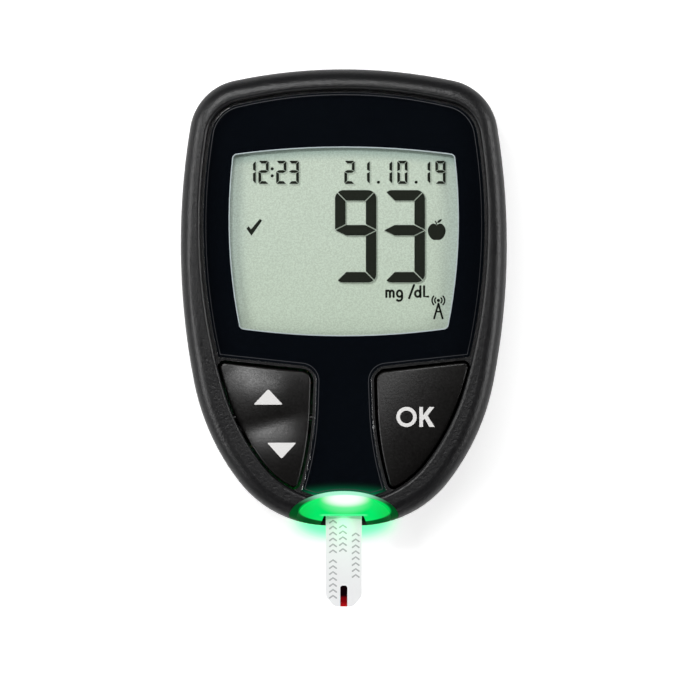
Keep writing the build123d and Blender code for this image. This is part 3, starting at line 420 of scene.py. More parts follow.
blood = {"dark": (0.004, 0.0, 0.001), "middle": (0.20, 0.001, 0.003), "bright": (0.50, 0.008, 0.010),
         "middleFrom": (-51.2, -51.9), "brightFrom": (-52.2, -53.2), "streak": (1.5, 0.4, 1), "grain": 2.0,
         "rough": 0.08, "spread": 0.08, "fixed": {"Coat Weight": 0.8}}


def makeBlood(r):  # a thin wet layer: dark inside the channel, red at the strip's tip
    y = r.axis("Y")
    colour = r.blend(r.limit(y, *blood["middleFrom"]), blood["dark"], blood["middle"])
    colour = r.blend(r.limit(y, *blood["brightFrom"]), colour, blood["bright"])
    return r.finish(blood, colour, r.noise(r.place(blood["streak"]), blood["grain"]))


# painted highlight line round the faceplate, its top and foot painted brighter
plateEdgeHighlight = {"low": (0.010, 0.011, 0.014), "high": (0.050, 0.052, 0.058), "grain": 1.2,
             "top": (18.0, 34.0), "topShare": 0.8, "foot": (-8.0, -11.0), "footShare": 0.55,
             "rough": 0.3, "spread": 0.15, "fixed": {"Specular IOR Level": 0.3}}


def makePlateHighlight(r):  # thin ribbon with a painted highlight of the faceplate's rounded edge, brighter at its top and along its foot
    y = r.axis("Y")
    top = r.limit(y, *plateEdgeHighlight["top"]) * plateEdgeHighlight["topShare"]
    foot = r.limit(y, *plateEdgeHighlight["foot"]) * plateEdgeHighlight["footShare"]
    colour = r.blend(top + foot, plateEdgeHighlight["low"], plateEdgeHighlight["high"])
    return r.finish(plateEdgeHighlight, colour, r.noise(r.place(), plateEdgeHighlight["grain"]))


makers = {
    "clearPanel": makeLens, "panelPrint": makePanelPrint, "guideGreen": makeGuide, "lampGreen": makeLamp,
    "displayFilm": makeFilm, "segmentShade": makeSegmentShade, "elastomer": makeElastomer,
    "boardGreen": makeBoard, "foamGrey": makeFoam, "stripFilm": makeStripFilm, "bloodRed": makeBlood,
    "plateEdgeHighlight": makePlateHighlight,
}
materials = {name: material(name, make) for name, make in makers.items()}
for table, make in ((moulded, makeMoulded), (metals, makeMetal), (grained, makeGrained)):
    materials.update({name: material(name, make, look) for name, look in table.items()})
print("materials written,", len(materials))

finishes = {
    "caseBlack": ["front_case", "rear_case", "battery_door"],
    "keyBlack": ["ok_key", "up_down_key"],
    "clearPanel": ["display_lens"],
    "panelPrint": ["lens_mask"],
    "guideGreen": ["port_light_guide"],
    "lampGreen": ["port_lamps"],
    "displayFilm": ["lcd_polariser"],
    "displayGlass": ["lcd_top_glass", "lcd_bottom_glass"],
    "displaySilver": ["lcd_reflector"],
    "frameWhite": ["lcd_frame"],
    "elastomer": ["zebra_connector"],
    "domeSteel": ["ok_dome", "up_dome", "down_dome"],
    "boardGreen": ["main_board"],
    "screwSteel": ["case_screws", "board_screws"],
    "chipBlack": ["microcontroller", "memory_chip", "buzzer"],
    "canSilver": ["radio_module", "clock_crystal"],
    "solderParts": ["chip_parts"],
    "contactMetal": ["negative_contact", "positive_contact"],
    "cellSteel": ["coin_cell_left", "coin_cell_right"],
    "foamGrey": ["door_pad"],
    "socketBlack": ["strip_socket"],
    "contactGold": ["strip_contacts"],
    "stripWhite": ["strip_base", "strip_spacer"],
    "stripFilm": ["strip_cover"],
    "stripCarbon": ["strip_tracks"],
    "bloodRed": ["strip_sample"],
}
evened = ["display_lens", "front_case", "rear_case", "battery_door", "port_light_guide", "main_board",
          "lcd_frame"]
for finish, pieces in finishes.items():
    for piece in pieces:
        slots = nodes[piece].data.materials
        slots.clear()
        slots.append(materials[finish])
for piece in evened:  # broad faces keep a flat look beside their small fillets
    flatter = nodes[piece].modifiers.new("flatter", "WEIGHTED_NORMAL")
    flatter.keep_sharp = True
    flatter.weight = 100
print("finishes on,", sum(len(pieces) for pieces in finishes.values()), "CAD pieces")

shapeRules = {  # what the flat shapes have in common
    "shortest": 0.004,  # a side below this is dropped
    "parallel": 1e-4, "weld": 1e-5, "easeShare": 0.45, "bevelSteps": 3, "discSteps": 23,
}


def moved(loop, x=0.0, y=0.0):
    return [(px + x, py + y) for px, py in loop]


def sidesOf(loop, amount):  # each side of a convex counter-clockwise loop as a line, moved inwards
    sides = []
    for (ax, ay), (bx, by) in zip(loop, loop[1:] + loop[:1]):
        length = math.hypot(bx - ax, by - ay)
        nx, ny = -(by - ay) / length, (bx - ax) / length
        sides.append((nx, ny, nx * ax + ny * ay + amount))
    return sides


def drawnIn(loop, amount):  # what is left of a convex loop when every side moves inwards
    left = list(loop)
    for nx, ny, line in sidesOf(loop, amount):
        kept = []
        for (ax, ay), (bx, by) in zip(left, left[1:] + left[:1]):
            before, after = nx * ax + ny * ay - line, nx * bx + ny * by - line
            if before >= 0:
                kept.append((ax, ay))
            if before * after < 0:
                share = before / (before - after)
                kept.append((ax + (bx - ax) * share, ay + (by - ay) * share))
        left = kept
    result = []
    for point in left:
        if not result or math.dist(point, result[-1]) > shapeRules["shortest"]:
            result.append(point)
    return result


def drawnOut(loop, amount):  # the same loop, point for point, with every side moved outwards
    sides = sidesOf(loop, -amount)
    result = []
    for index, ((ax, ay, ac), (bx, by, bc)) in enumerate(zip(sides[-1:] + sides[:-1], sides)):
        turn = ax * by - ay * bx
        if abs(turn) < shapeRules["parallel"]:  # two sides in one line: the corner moves straight out
            px, py = loop[index]
            push = bx * px + by * py - bc
            result.append((px - bx * push, py - by * push))
        else:
            result.append(((ac * by - bc * ay) / turn, (ax * bc - bx * ac) / turn))
    return result


def arc(centre, radius, start, end, steps=8):
    turns = [math.radians(start + (end - start) * step / steps) for step in range(steps + 1)]
    return [(centre[0] + radius * math.cos(turn), centre[1] + radius * math.sin(turn)) for turn in turns]


def disc(centre, radius):
    steps = shapeRules["discSteps"]
    return arc(centre, radius, 0, 360 * steps / (steps + 1), steps)


def rounded(loop, radius, steps=5):  # every corner of a loop eased by a quadratic bend
    result = []
    for before, corner, after in zip(loop[-1:] + loop[:-1], loop, loop[1:] + loop[:1]):
        ends = []
        for other in (before, after):
            share = min(radius / math.dist(corner, other), shapeRules["easeShare"])
            ends.append([at + (to - at) * share for at, to in zip(corner, other)])
        for step in range(steps + 1):
            t = step / steps
            bend = zip(ends[0], corner, ends[1])
            result.append(tuple((1 - t) ** 2 * a + 2 * t * (1 - t) * b + t * t * c for a, b, c in bend))
    return result


def ribbon(points, width):  # a stroke of constant width with round ends
    left, right = [], []
    for index, point in enumerate(points):
        before = points[max(index - 1, 0)]
        after = points[min(index + 1, len(points) - 1)]
        length = math.dist(before, after)
        nx, ny = -(after[1] - before[1]) / length, (after[0] - before[0]) / length
        left.append((point[0] + nx * width / 2, point[1] + ny * width / 2))
        right.append((point[0] - nx * width / 2, point[1] - ny * width / 2))

    def cap(centre, side):
        start = math.degrees(math.atan2(side[1] - centre[1], side[0] - centre[0]))
        return arc(centre, width / 2, start, start + 180, 6)[1:-1]

    return right + cap(points[-1], right[-1]) + left[::-1] + cap(points[0], left[0])


def inScene(name, data):
    made = bpy.data.objects.new(name, data)
    scene.collection.objects.link(made)
    return made


def filled(name, loops, thickness, edge):  # flat plate from its loops, in millimetres, holes left open
    curve = bpy.data.curves.new(name, "CURVE")
    curve.dimensions = "2D"
    curve.fill_mode = "BOTH"
    curve.extrude = thickness / 2 - edge
    curve.bevel_depth = edge
    curve.bevel_resolution = shapeRules["bevelSteps"]
    curve.offset = -edge
    for loop in loops:
        spline = curve.splines.new("POLY")
        spline.points.add(len(loop) - 1)
        for point, (x, y) in zip(spline.points, loop):
            point.co = (x, y, 0, 1)
        spline.use_cyclic_u = True
    holder = inScene(name, curve)
    graph = bpy.context.evaluated_depsgraph_get()
    mesh = bpy.data.meshes.new_from_object(holder.evaluated_get(graph))
    bpy.data.objects.remove(holder)
    mesh.name = name
    return mesh


def cutAt(work, place, normal, clearOuter=False):
    geometry = work.verts[:] + work.edges[:] + work.faces[:]
    bmesh.ops.bisect_plane(work, geom=geometry, plane_co=place, plane_no=normal, clear_outer=clearOuter)


def laid(name, loops, thickness, finish, body, heightAt, pitch=None, edge=0.0):
    # Drapes a flat plate over a surface: it is cut along a grid, lifted point by point and scaled to metres
    mesh = filled(name, loops, thickness, edge)
    work = bmesh.new()
    work.from_mesh(mesh)
    bmesh.ops.remove_doubles(work, verts=work.verts, dist=shapeRules["weld"])
    if pitch:
        for axis, normal in enumerate((Vector((1, 0, 0)), Vector((0, 1, 0)))):
            places = [vertex.co[axis] for vertex in work.verts]
            line = min(places) + pitch
            while line < max(places):
                cutAt(work, normal * line, normal)
                line += pitch
    for vertex in work.verts:
        vertex.co.z += heightAt(vertex.co.x, vertex.co.y)
        vertex.co *= mm
    bmesh.ops.recalc_face_normals(work, faces=work.faces)
    work.to_mesh(mesh)
    work.free()
    mesh.materials.clear()
    mesh.materials.append(materials[finish])
    piece = inScene(name, mesh)
    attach(piece, body)
    return piece


display = {
    "ink": 0.012,  # thickness of the segments
    "lift": 0.004,  # clear of the film
    "shadeReach": 0.16,
    "shadeShift": (0.20, -0.22),
    "shadeFade": [(0.5, 0.4), (1.0, 0.0)],  # share of the reach, and what is left of the shade there
    "segments": {"0": "abcdef", "1": "bc", "2": "abged", "3": "abgcd", "9": "abcdfg"},
}
bigDigits = {"text": [("9", 5.58), ("3", 13.90)], "width": 7.08, "top": 18.27, "bottom": 2.45,
             "middle": 11.40, "stroke": 1.80, "gap": 0.17, "corner": 1.45, "shade": 1.0}
timeDigits = {"text": [("1", -15.06), ("2", -12.86), ("2", -9.82), ("3", -7.68)], "width": 1.76,
              "top": 23.30, "bottom": 19.33, "middle": 21.45, "stroke": 0.48, "gap": 0.075, "corner": 0.30,
              "shade": 0.5}
dateDigits = dict(timeDigits, text=[("2", 1.86), ("1", 4.46), ("1", 8.30), ("0", 10.92), ("1", 14.82),
                                    ("9", 17.44)])
dots = {"radius": 0.27, "places": [(-12.25, 21.91), (-12.25, 20.71), (5.94, 19.62), (12.39, 19.62)]}
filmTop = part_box("lcd_polariser")[1].z / mm


def digitLoops(digit, side, look):  # seven mitred segments with rounded outer corners
    half = look["gap"] / 2
    deep = look["stroke"] + look["gap"]
    ease = look["corner"] + half
    left, right = side - look["width"] - half, side + half
    low, middle, high = look["bottom"] - half, look["middle"], look["top"] + half
    inLeft, inRight, inLow, inHigh = left + deep, right - deep, low + deep, high - deep
    under, over = middle - deep / 2, middle + deep / 2

    def bend(x, y, start, end):
        centreX = x + (ease if x < side - look["width"] / 2 else -ease)
        centreY = y + (ease if y < middle else -ease)
        return arc((centreX, centreY), ease, start, end, 5)

    forms = {
        "a": bend(right, high, 45, 90) + bend(left, high, 90, 135) + [(inLeft, inHigh), (inRight, inHigh)],
        "b": [(right, middle)] + bend(right, high, 0, 45) + [(inRight, inHigh), (inRight, over)],
        "c": [(inRight, under), (inRight, inLow)] + bend(right, low, -45, 0) + [(right, middle)],
        "d": [(inLeft, inLow)] + bend(left, low, 225, 270) + bend(right, low, 270, 315) + [(inRight, inLow)],
        "e": [(left, middle)] + bend(left, low, 180, 225) + [(inLeft, inLow), (inLeft, under)],
        "f": [(inLeft, over), (inLeft, inHigh)] + bend(left, high, 135, 180) + [(left, middle)],
        "g": [(left, middle), (inLeft, under), (inRight, under), (right, middle), (inRight, over),
              (inLeft, over)],
    }
    return [drawnIn(forms[name], half) for name in display["segments"][digit]]


def onFilm(x, y):
    return filmTop + display["lift"] + display["ink"] / 2


def inked(name, loops):
    laid(name, loops, display["ink"], "segmentInk", "root", onFilm)


def shaded(name, loops, strength):  # one feathered patch of painted shadow under each segment
    work = bmesh.new()
    shade = work.verts.layers.float.new("shade")
    height = filmTop + display["lift"] / 2
    for loop in loops:
        shifted = moved(loop, *display["shadeShift"])
        rings = [(shifted, 1.0)]
        for share, left in display["shadeFade"]:
            rings.append((drawnOut(shifted, display["shadeReach"] * share), left))
        made = []
        for ring, left in rings:
            made.append([work.verts.new((x * mm, y * mm, height * mm)) for x, y in ring])
            for vertex in made[-1]:
                vertex[shade] = left * strength
        work.faces.new(made[0])
        for inner, outer in zip(made, made[1:]):
            for index in range(len(inner)):
                after = (index + 1) % len(inner)
                work.faces.new((inner[index], outer[index], outer[after], inner[after]))
    mesh = bpy.data.meshes.new(name)
    work.to_mesh(mesh)
    work.free()
    mesh.materials.append(materials["segmentShade"])
    piece = inScene(name, mesh)
    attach(piece, "root")


for name, look in (("reading", bigDigits), ("clock_digits", timeDigits), ("date_digits", dateDigits)):
    loops = [loop for digit, side in look["text"] for loop in digitLoops(digit, side, look)]
    inked(name, loops)
    shaded(name + "_shade", loops, look["shade"])
inked("dots", [disc(place, dots["radius"]) for place in dots["places"]])

tick = [(-16.66, 11.68), (-16.28, 12.08), (-15.88, 11.56), (-14.36, 13.34), (-13.98, 13.04), (-15.81, 10.46)]
fruit = {
    "centre": (15.92, 11.14), "size": (1.52, 1.56), "steps": 48, "shoulder": 0.10,
    "dipWidth": 0.42, "dipTop": -0.34, "dipFoot": 0.16,
    "stalk": [(-0.02, 1.22), (-0.10, 1.55), (-0.26, 1.80)], "stalkWidth": 0.20,
    "leafFoot": (0.02, 1.55), "leafRun": (0.92, 0.55), "leafHalf": 0.26, "leafSteps": 6,
}
mast = {"place": (16.2, -0.62), "top": 0.55, "foot": -3.70, "spread": 0.72, "stroke": 0.34, "thin": 0.8,
        "barY": -2.55, "barHalf": 0.36, "waves": (0.62, 1.08), "waveHalf": 42, "bulb": 0.28}
unit = {  # strokes of mg/dL
    "stroke": 0.38, "foot": -0.03, "rise": 1.80, "bowl": (0.44, 0.53), "arch": (0.72, 0.34),
    "legs": [7.29, 7.91, 8.54], "firstTop": 1.06,
    "gMiddle": 9.55,
    "gTail": [(9.99, 0.53), (9.99, -0.18), (9.90, -0.46), (9.66, -0.66), (9.36, -0.68), (9.12, -0.56)],
    "slash": [(11.19, -0.24), (12.02, 1.99)],
    "dMiddle": 12.66, "dStem": 13.12, "lastStem": 13.76, "lastEnd": (14.46, 0.03),
}


def fruitLoops():  # plain round fruit with a stalk and a leaf
    x, y = fruit["centre"]
    width, height = fruit["size"]
    body = []
    for step in range(fruit["steps"]):
        turn = 2 * math.pi * step / fruit["steps"]
        out = width * math.cos(turn) * (1 + fruit["shoulder"] * math.sin(turn))
        dip = math.exp(-(out / fruit["dipWidth"]) ** 2)
        up = height * math.sin(turn) + (fruit["dipTop"] if math.sin(turn) > 0 else fruit["dipFoot"]) * dip
        body.append((x + out, y + up))
    footX, footY = moved([fruit["leafFoot"]], x, y)[0]
    shares = [step / fruit["leafSteps"] for step in range(fruit["leafSteps"] + 1)]
    leaf = []
    for side, along in ((-1, shares), (1, shares[-2:0:-1])):
        for share in along:
            bulge = side * fruit["leafHalf"] * math.sin(math.pi * share)
            leaf.append((footX + fruit["leafRun"][0] * share, footY + fruit["leafRun"][1] * share + bulge))
    return [body, ribbon(moved(fruit["stalk"], x, y), fruit["stalkWidth"]), leaf]


def mastLoops():  # plain mast with waves on both sides: the meter's radio is on
    x, y = mast["place"]
    thin = mast["stroke"] * mast["thin"]
    legs = [ribbon([(x, y - mast["top"]), (x + side * mast["spread"], mast["foot"])], mast["stroke"])
            for side in (-1, 1)]
    bar = ribbon([(x - mast["barHalf"], mast["barY"]), (x + mast["barHalf"], mast["barY"])], thin)
    waves = [ribbon(arc((x, y), radius, turn - mast["waveHalf"], turn + mast["waveHalf"]), thin)
             for radius in mast["waves"] for turn in (0, 180)]
    return legs, bar, waves + [disc((x, y), mast["bulb"])]


def unitLoops():  # round strokes of one width
    wide, high = unit["bowl"]
    spring, rise = unit["arch"]

    def bowl(x, start, end):
        return [(x + wide * across, high * (1 + along)) for across, along in arc((0, 0), 1, start, end, 20)]

    def arch(left, right):
        middle, half = (left + right) / 2, (right - left) / 2
        over = [(middle + half * across, spring + rise * along) for across, along in arc((0, 0), 1, 180, 0)]
        return over + [(right, unit["foot"])]

    first, second, third = unit["legs"]
    endX, endY = unit["lastEnd"]
    strokes = [
        [(first, unit["foot"]), (first, unit["firstTop"])],
        arch(first, second),
        arch(second, third),
        bowl(unit["gMiddle"], 0, 345),
        unit["gTail"],
        unit["slash"],
        bowl(unit["dMiddle"], 15, 360),
        [(unit["dStem"], unit["rise"]), (unit["dStem"], unit["foot"])],
        [(unit["lastStem"], unit["rise"]), (unit["lastStem"], endY), (endX, endY)],
    ]
    return [ribbon(stroke, unit["stroke"]) for stroke in strokes]


mastLegs, mastBar, mastWaves = mastLoops()
inked("tick_mark", [tick])
inked("meal_mark", fruitLoops())
inked("radio_mast", mastLegs[:1])
inked("radio_mast_leg", mastLegs[1:])
inked("radio_mast_bar", [mastBar])
inked("radio_waves", mastWaves)
for index, loop in enumerate(unitLoops()):
    inked(f"unit_stroke_{index}", [loop])

printGap = 0.01  # from the clear plate down to the ink, so that the two faces never mix


def sunk(node, name, amount):  # a node's own mesh with its top face lowered
    low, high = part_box(node)
    mesh = nodes[node].data.copy()
    mesh.name = name
    for vertex in mesh.vertices:
        if vertex.co.z > (low.z + high.z) / 2:
            vertex.co.z -= amount * mm
    piece = inScene(name, mesh)
    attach(piece, "root")
    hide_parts(node)


sunk("lens_mask", "panel_print", printGap)

windowLine = {  # light line round the window, and where the print's opening lies
    "width": 0.17, "thickness": 0.10, "lift": 0.02, "middleY": 9.5, "reachX": 19.9, "reachY": (-7.0, 26.0),
    "upright": 0.5,
}


def windowLoop():  # the window's edge, read from the print's own opening
    maskLow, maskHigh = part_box("lens_mask")
    middle = Vector((0.0, windowLine["middleY"] * mm, 0.0))
    lowest, highest = (reach * mm for reach in windowLine["reachY"])
    mesh = nodes["lens_mask"].data
    found = {}
    for face in mesh.polygons:
        towards = middle - face.center
        towards.z = 0.0
        if abs(face.normal.z) > windowLine["upright"] or face.normal.dot(towards) < 0:
            continue
        if abs(face.center.x) > windowLine["reachX"] * mm or not lowest < face.center.y < highest:
            continue
        for index in face.vertices:
            point = mesh.vertices[index].co
            if point.z > (maskLow.z + maskHigh.z) / 2:
                turn = math.atan2(point.y - middle.y, point.x)
                found[round(turn, 4)] = (point.x / mm, point.y / mm)
    return [found[turn] for turn in sorted(found)]


edgeLoop = windowLoop()
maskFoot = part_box("lens_mask")[0].z / mm
laid("window_edge", [edgeLoop, drawnIn(edgeLoop, windowLine["width"])], windowLine["thickness"], "windowEdge",
     "root", lambda x, y: maskFoot + windowLine["thickness"] / 2 + windowLine["lift"])

# a thin ribbon on the faceplate that carries the painted edge highlight
edgeHighlight = {"inset": 0.26, "width": 0.12, "thickness": 0.02, "lift": 0.002, "weld": 1e-7, "level": 2e-6}


def outerLoop(node):  # the outline of a node's flat top, from its own mesh
    work = bmesh.new()
    work.from_mesh(nodes[node].data)
    bmesh.ops.remove_doubles(work, verts=work.verts, dist=edgeHighlight["weld"])
    level = max(vertex.co.z for vertex in work.verts) - edgeHighlight["level"]
    flat = {face for face in work.faces if all(vertex.co.z > level for vertex in face.verts)}
    joined = {}
    for edge in work.edges:
        if sum(face in flat for face in edge.link_faces) == 1:
            one, other = edge.verts
            joined.setdefault(one, []).append(other)
            joined.setdefault(other, []).append(one)
    start = min(joined, key=lambda vertex: vertex.co.x)
    loop, before = [start], None
    while True:
        after = [vertex for vertex in joined[loop[-1]] if vertex is not before][0]
        if after is start:
            break
        before = loop[-1]
        loop.append(after)
    points = [(vertex.co.x / mm, vertex.co.y / mm) for vertex in loop]
    work.free()
    area = sum(ax * by - bx * ay for (ax, ay), (bx, by) in zip(points, points[1:] + points[:1]))
    return points if area > 0 else points[::-1]


plateLoop = outerLoop("display_lens")
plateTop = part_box("display_lens")[1].z / mm
highlightLoops = [drawnOut(plateLoop, -edgeHighlight["inset"]), drawnOut(plateLoop, -edgeHighlight["inset"] - edgeHighlight["width"])]
laid("plate_edge_highlight", highlightLoops, edgeHighlight["thickness"], "plateEdgeHighlight", "root",
     lambda x, y: plateTop + edgeHighlight["thickness"] / 2 + edgeHighlight["lift"])
print("display drawn, window edge of", len(edgeLoop), "points, faceplate edge of", len(plateLoop))

keyCaps = {  # a dome is x, y and top; a twist lifts one diagonal and lowers the other
    "up_down_key": {
        "domes": [(-13.3, -18.4, 17.35), (-11.2, -27.2, 17.88)], "domeRadius": 21.0, "stretch": 1.0,
        "middle": (-14.0, -19.5), "middleRadius": 90.0, "shoulder": 16.5, "blend": 0.50, "twist": 0.0,
    },
    "ok_key": {
        "domes": [(16.5, -15.5, 17.57)], "domeRadius": 48.0, "stretch": 0.5,
        "middle": (13.0, -17.0), "middleRadius": 90.0, "shoulder": 15.0, "blend": 0.40, "twist": 0.014,
    },
}
keyCut = 14.7  # height above which a cap is drawn anew; below it stays the CAD key
capEdge = {"round": 0.30, "pitch": 0.50, "wall": 0.9, "upright": 0.05, "crease": 40}


def capHeight(look):  # domes that run softly into a flatter shoulder
    def raised(place, centre, radius, top, stretch=1.0):
        return top - ((place[0] - centre[0]) ** 2 + stretch * (place[1] - centre[1]) ** 2) / (2 * radius)

    def heightAt(x, y):
        height = raised((x, y), look["middle"], look["middleRadius"], look["shoulder"])
        for dome in look["domes"]:
            other = raised((x, y), dome, look["domeRadius"], dome[2], look["stretch"])
            near = max(look["blend"] - abs(height - other), 0.0)
            height = max(height, other) + near ** 2 / (4 * look["blend"])
        height += look["twist"] * (x - look["middle"][0]) * (y - look["middle"][1])
        return max(height, keyCut + capEdge["wall"])
    return heightAt


def wallLoop(node):  # a cap's outline, read from the upright walls of its node
    mesh = nodes[node].data
    found = {}
    for face in mesh.polygons:
        points = [mesh.vertices[index].co for index in face.vertices]
        if abs(face.normal.z) < capEdge["upright"] and max(point.z for point in points) > keyCut * mm:
            for point in points:
                found[(round(point.x / mm, 3), round(point.y / mm, 3))] = None
    middleX = sum(x for x, y in found) / len(found)
    middleY = sum(y for x, y in found) / len(found)
    return sorted(found, key=lambda place: math.atan2(place[1] - middleY, place[0] - middleX))


def capped(name, node, body):
    heightAt = capHeight(keyCaps[node])
    loop = wallLoop(node)
    depth = min(heightAt(x, y) for x, y in loop) - keyCut
    piece = laid(name, [loop], depth, "keyBlack", body, lambda x, y: heightAt(x, y) - depth / 2,
                 pitch=capEdge["pitch"], edge=capEdge["round"])
    work = bmesh.new()
    work.from_mesh(nodes[node].data)
    cutAt(work, (0, 0, keyCut * mm), (0, 0, 1), clearOuter=True)
    bmesh.ops.holes_fill(work, edges=[edge for edge in work.edges if edge.is_boundary])
    work.from_mesh(piece.data)
    work.to_mesh(piece.data)
    work.free()
    piece.data.materials.clear()
    piece.data.materials.append(materials["keyBlack"])
    for face in piece.data.polygons:
        face.material_index = 0
        face.use_smooth = True
    piece.data.set_sharp_from_angle(angle=math.radians(capEdge["crease"]))
    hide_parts(node)
    return heightAt


keyHeights = {
    "up_down_key": capped("rocker_cap", "up_down_key", "up_down_key"),
    "ok_key": capped("ok_cap", "ok_key", "ok_key"),
}

legend = {"ink": 0.06, "pitch": 0.6}
arrows = {
    "up_arrow": [(-12.90, -15.78), (-15.42, -18.45), (-10.40, -18.45)],
    "down_arrow": [(-13.10, -24.95), (-10.62, -27.68), (-8.10, -24.95)],
}
arrowCorner = 0.32
okSign = {
    "middleY": -20.55, "height": 3.42, "stroke": 0.62,
    "left": 8.99, "ringWidth": 3.48, "ringSteps": 64,
    "stem": 12.92, "right": 15.55, "arm": (0.06, 0.94), "armFoot": 0.28, "fork": (0.80, 0.24),  # the K
    "leg": 0.92, "legFoot": 0.62, "notch": (0.30, -0.28),
}


def legendOn(key, name, loops):
    laid(name, loops, legend["ink"], "legendWhite", key, keyHeights[key], pitch=legend["pitch"])


def okRing():  # a round O
    half, high = okSign["ringWidth"] / 2, okSign["height"] / 2
    turns = [2 * math.pi * step / okSign["ringSteps"] for step in range(okSign["ringSteps"])]
    return [[(okSign["left"] + half + (half - inset) * math.cos(turn),
              okSign["middleY"] + (high - inset) * math.sin(turn)) for turn in turns]
            for inset in (0.0, okSign["stroke"])]


def okStem():  # a straight-legged K
    left, right, y = okSign["stem"], okSign["right"], okSign["middleY"]
    bottom, top = y - okSign["height"] / 2, y + okSign["height"] / 2
    knee = left + okSign["stroke"]
    notch, fork = moved([okSign["notch"], okSign["fork"]], knee, y)
    leg = [(knee, y - okSign["legFoot"]), notch, (right - okSign["leg"], bottom), (right, bottom)]
    arm = [fork, *((right - inset, top) for inset in okSign["arm"]), (knee, y + okSign["armFoot"])]
    return [(left, bottom), (knee, bottom)] + leg + arm + [(knee, top), (left, top)]


for name, points in arrows.items():
    legendOn("up_down_key", name, [rounded(points, arrowCorner)])
legendOn("ok_key", "ok_ring", okRing())
legendOn("ok_key", "ok_stem", [okStem()])
print("keys capped and their legends laid")

stripPrint = {
    "columns": [(-1.85, -38.4, -43.6), (-1.85, -45.2, -51.4), (-0.15, -39.2, -43.6), (2.05, -40.6, -48.6)],
    "pitch": 1.02, "halfWidth": 0.56, "rise": 0.40, "stroke": 0.27, "ink": 0.008, "lift": 0.001,
}
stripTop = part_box("strip_cover")[1].z / mm


def chevrons():  # small arrowheads that point into the port
    wide, rise = stripPrint["halfWidth"], stripPrint["rise"]
    loops = []
    for x, start, end in stripPrint["columns"]:
        y = start
        while y > end:
            loops.append(ribbon([(x - wide, y - rise), (x, y), (x + wide, y - rise)], stripPrint["stroke"]))
            y -= stripPrint["pitch"]
    return loops


laid("strip_marks", chevrons(), stripPrint["ink"], "stripGrey", "test_strip",
     lambda x, y: stripTop + stripPrint["ink"] / 2 + stripPrint["lift"])
print("strip printed")

stage = {
    "size": 3.0, "sink": 0.02, "white": (0.88, 0.88, 0.88), "boost": 0.62,
    "tint": (0.20, 0.88, 0.44), "glow": (0.0, 0.42, 0.14),  # the port's green light, painted on the floor
    "glowWide": 130.0, "glowPeak": 1.30, "glowY": -39.6, "glowSag": 0.012, "glowFade": (-4.6, 1.2),
    "glowStart": (-30.0, -34.0),
}


def makeFloor(r):
    x, y = r.axis("X"), r.axis("Y")
    # painted pool of the port's green light, strongest beside the strip
    across = r.limit(x * x, 0.0, stage["glowWide"], stage["glowPeak"], 0.0)
    below = r.limit(y - (x * x) * stage["glowSag"] - stage["glowY"], *stage["glowFade"])
    spill = r.limit(across * (below * r.limit(y, *stage["glowStart"])), 0.0, 1.0)
    seen = r.node("ShaderNodeLightPath", out="Is Camera Ray")
    colour = r.blend(spill, stage["white"], stage["tint"])
    flat = r.principled({"Base Color": colour, "Roughness": 0.9, "Specular IOR Level": 0.0})
    lift = r.blend(spill, colour, stage["glow"], mode="ADD")
    shine = r.node("ShaderNodeEmission", None, {"Color": lift, "Strength": seen * stage["boost"]})
    return r.show(r.node("ShaderNodeAddShader", None, {0: flat, 1: shine}))


floorMesh = bpy.data.meshes.new("floor")
half = stage["size"] / 2
corners = [(-half, -half, 0), (half, -half, 0), (half, half, 0), (-half, half, 0)]
floorMesh.from_pydata(corners, [], [(0, 1, 2, 3)])
floorMesh.materials.append(material("floorWhite", makeFloor))
floor = inScene("floor", floorMesh)
floor.location.z = -stage["sink"] * mm

sky = {"side": 0.24, "top": 0.01, "topStart": 0.40, "topEnd": 0.88}


def makeSky():  # a grey studio, darker overhead
    r = Recipe(bpy.data.worlds.new("studio"))
    where = r.node("ShaderNodeTexCoord", out="Generated")
    rise = r.node("ShaderNodeSeparateXYZ", None, {0: where}, out="Z")
    strength = r.limit(rise, sky["topStart"], sky["topEnd"], sky["side"], sky["top"])
    grey = r.node("ShaderNodeBackground", None, {"Strength": strength})
    return r.show(grey, output="ShaderNodeOutputWorld")


scene.world = makeSky()

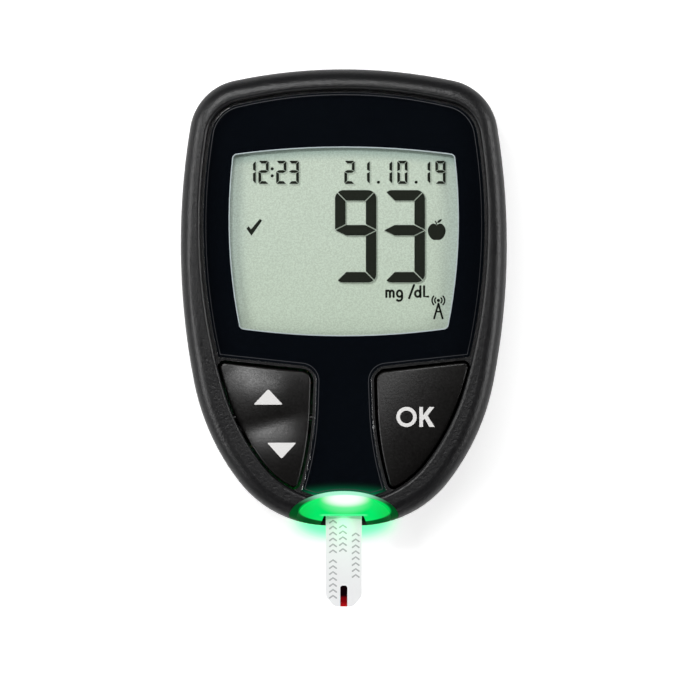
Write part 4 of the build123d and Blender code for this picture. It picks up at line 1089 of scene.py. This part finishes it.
lamps = {  # azimuth from +Y to +X, angle from straight up, share of the table's light
    "keyUpperLeft": {"azimuth": -38, "fromUp": 27, "away": 0.75, "size": (0.20, 0.16), "share": 0.25},
    "topStrip": {"azimuth": 0, "fromUp": 20, "away": 0.75, "size": (0.24, 0.08), "share": 0.18},
    "sideLeft": {"azimuth": -90, "fromUp": 56, "away": 0.70, "size": (0.60, 0.28), "share": 0.32},
    "sideRight": {"azimuth": 88, "fromUp": 64, "away": 0.70, "size": (0.60, 0.26), "share": 0.23},
    "front": {"azimuth": 178, "fromUp": 60, "away": 0.80, "size": (0.50, 0.18), "share": 0.05},
}
portLight = {"place": (0, -38.1, 10.9), "aim": (0, -38.7, 9.6), "size": (6.0, 0.9), "energy": 0.00005,
             "colour": (0.05, 1.0, 0.30)}


def addLamp(name, size, energy, place, aim, upright="Y"):
    data = bpy.data.lights.new(name, "AREA")
    data.shape = "RECTANGLE"
    data.size, data.size_y = size
    data.energy = energy
    holder = inScene(name, data)
    holder.location = place
    holder.rotation_euler = aim.to_track_quat("-Z", upright).to_euler()
    holder.visible_camera = False
    return data


for name, lamp in lamps.items():
    up, turn = math.radians(lamp["fromUp"]), math.radians(lamp["azimuth"])
    towards = Vector((math.sin(up) * math.sin(turn), math.sin(up) * math.cos(turn), math.cos(up)))
    energy = lamp["share"] * math.pi ** 2 * lamp["away"] ** 2 / math.cos(up)
    addLamp(name, lamp["size"], energy, towards * lamp["away"], -towards)
portPlace, portSize = Vector(portLight["place"]), [side * mm for side in portLight["size"]]
portAim = (Vector(portLight["aim"]) - portPlace).normalized()
portGlow = addLamp("portGlow", portSize, portLight["energy"], portPlace * mm, portAim, upright="X")
portGlow.color = portLight["colour"]

view = {"centre": (1.07, -9.11), "plane": 13.0, "wide": 120.0, "lens": 400.0, "sensor": 36.0, "near": 0.01}
cameraData = bpy.data.cameras.new("camera")
cameraData.lens = view["lens"]
cameraData.sensor_width = view["sensor"]
cameraData.clip_start = view["near"]
camera = inScene("camera", cameraData)
rise = view["plane"] + view["wide"] * view["lens"] / view["sensor"]
camera.location = Vector((*view["centre"], rise)) * mm
scene.camera = camera
print("stage, lights and camera set")
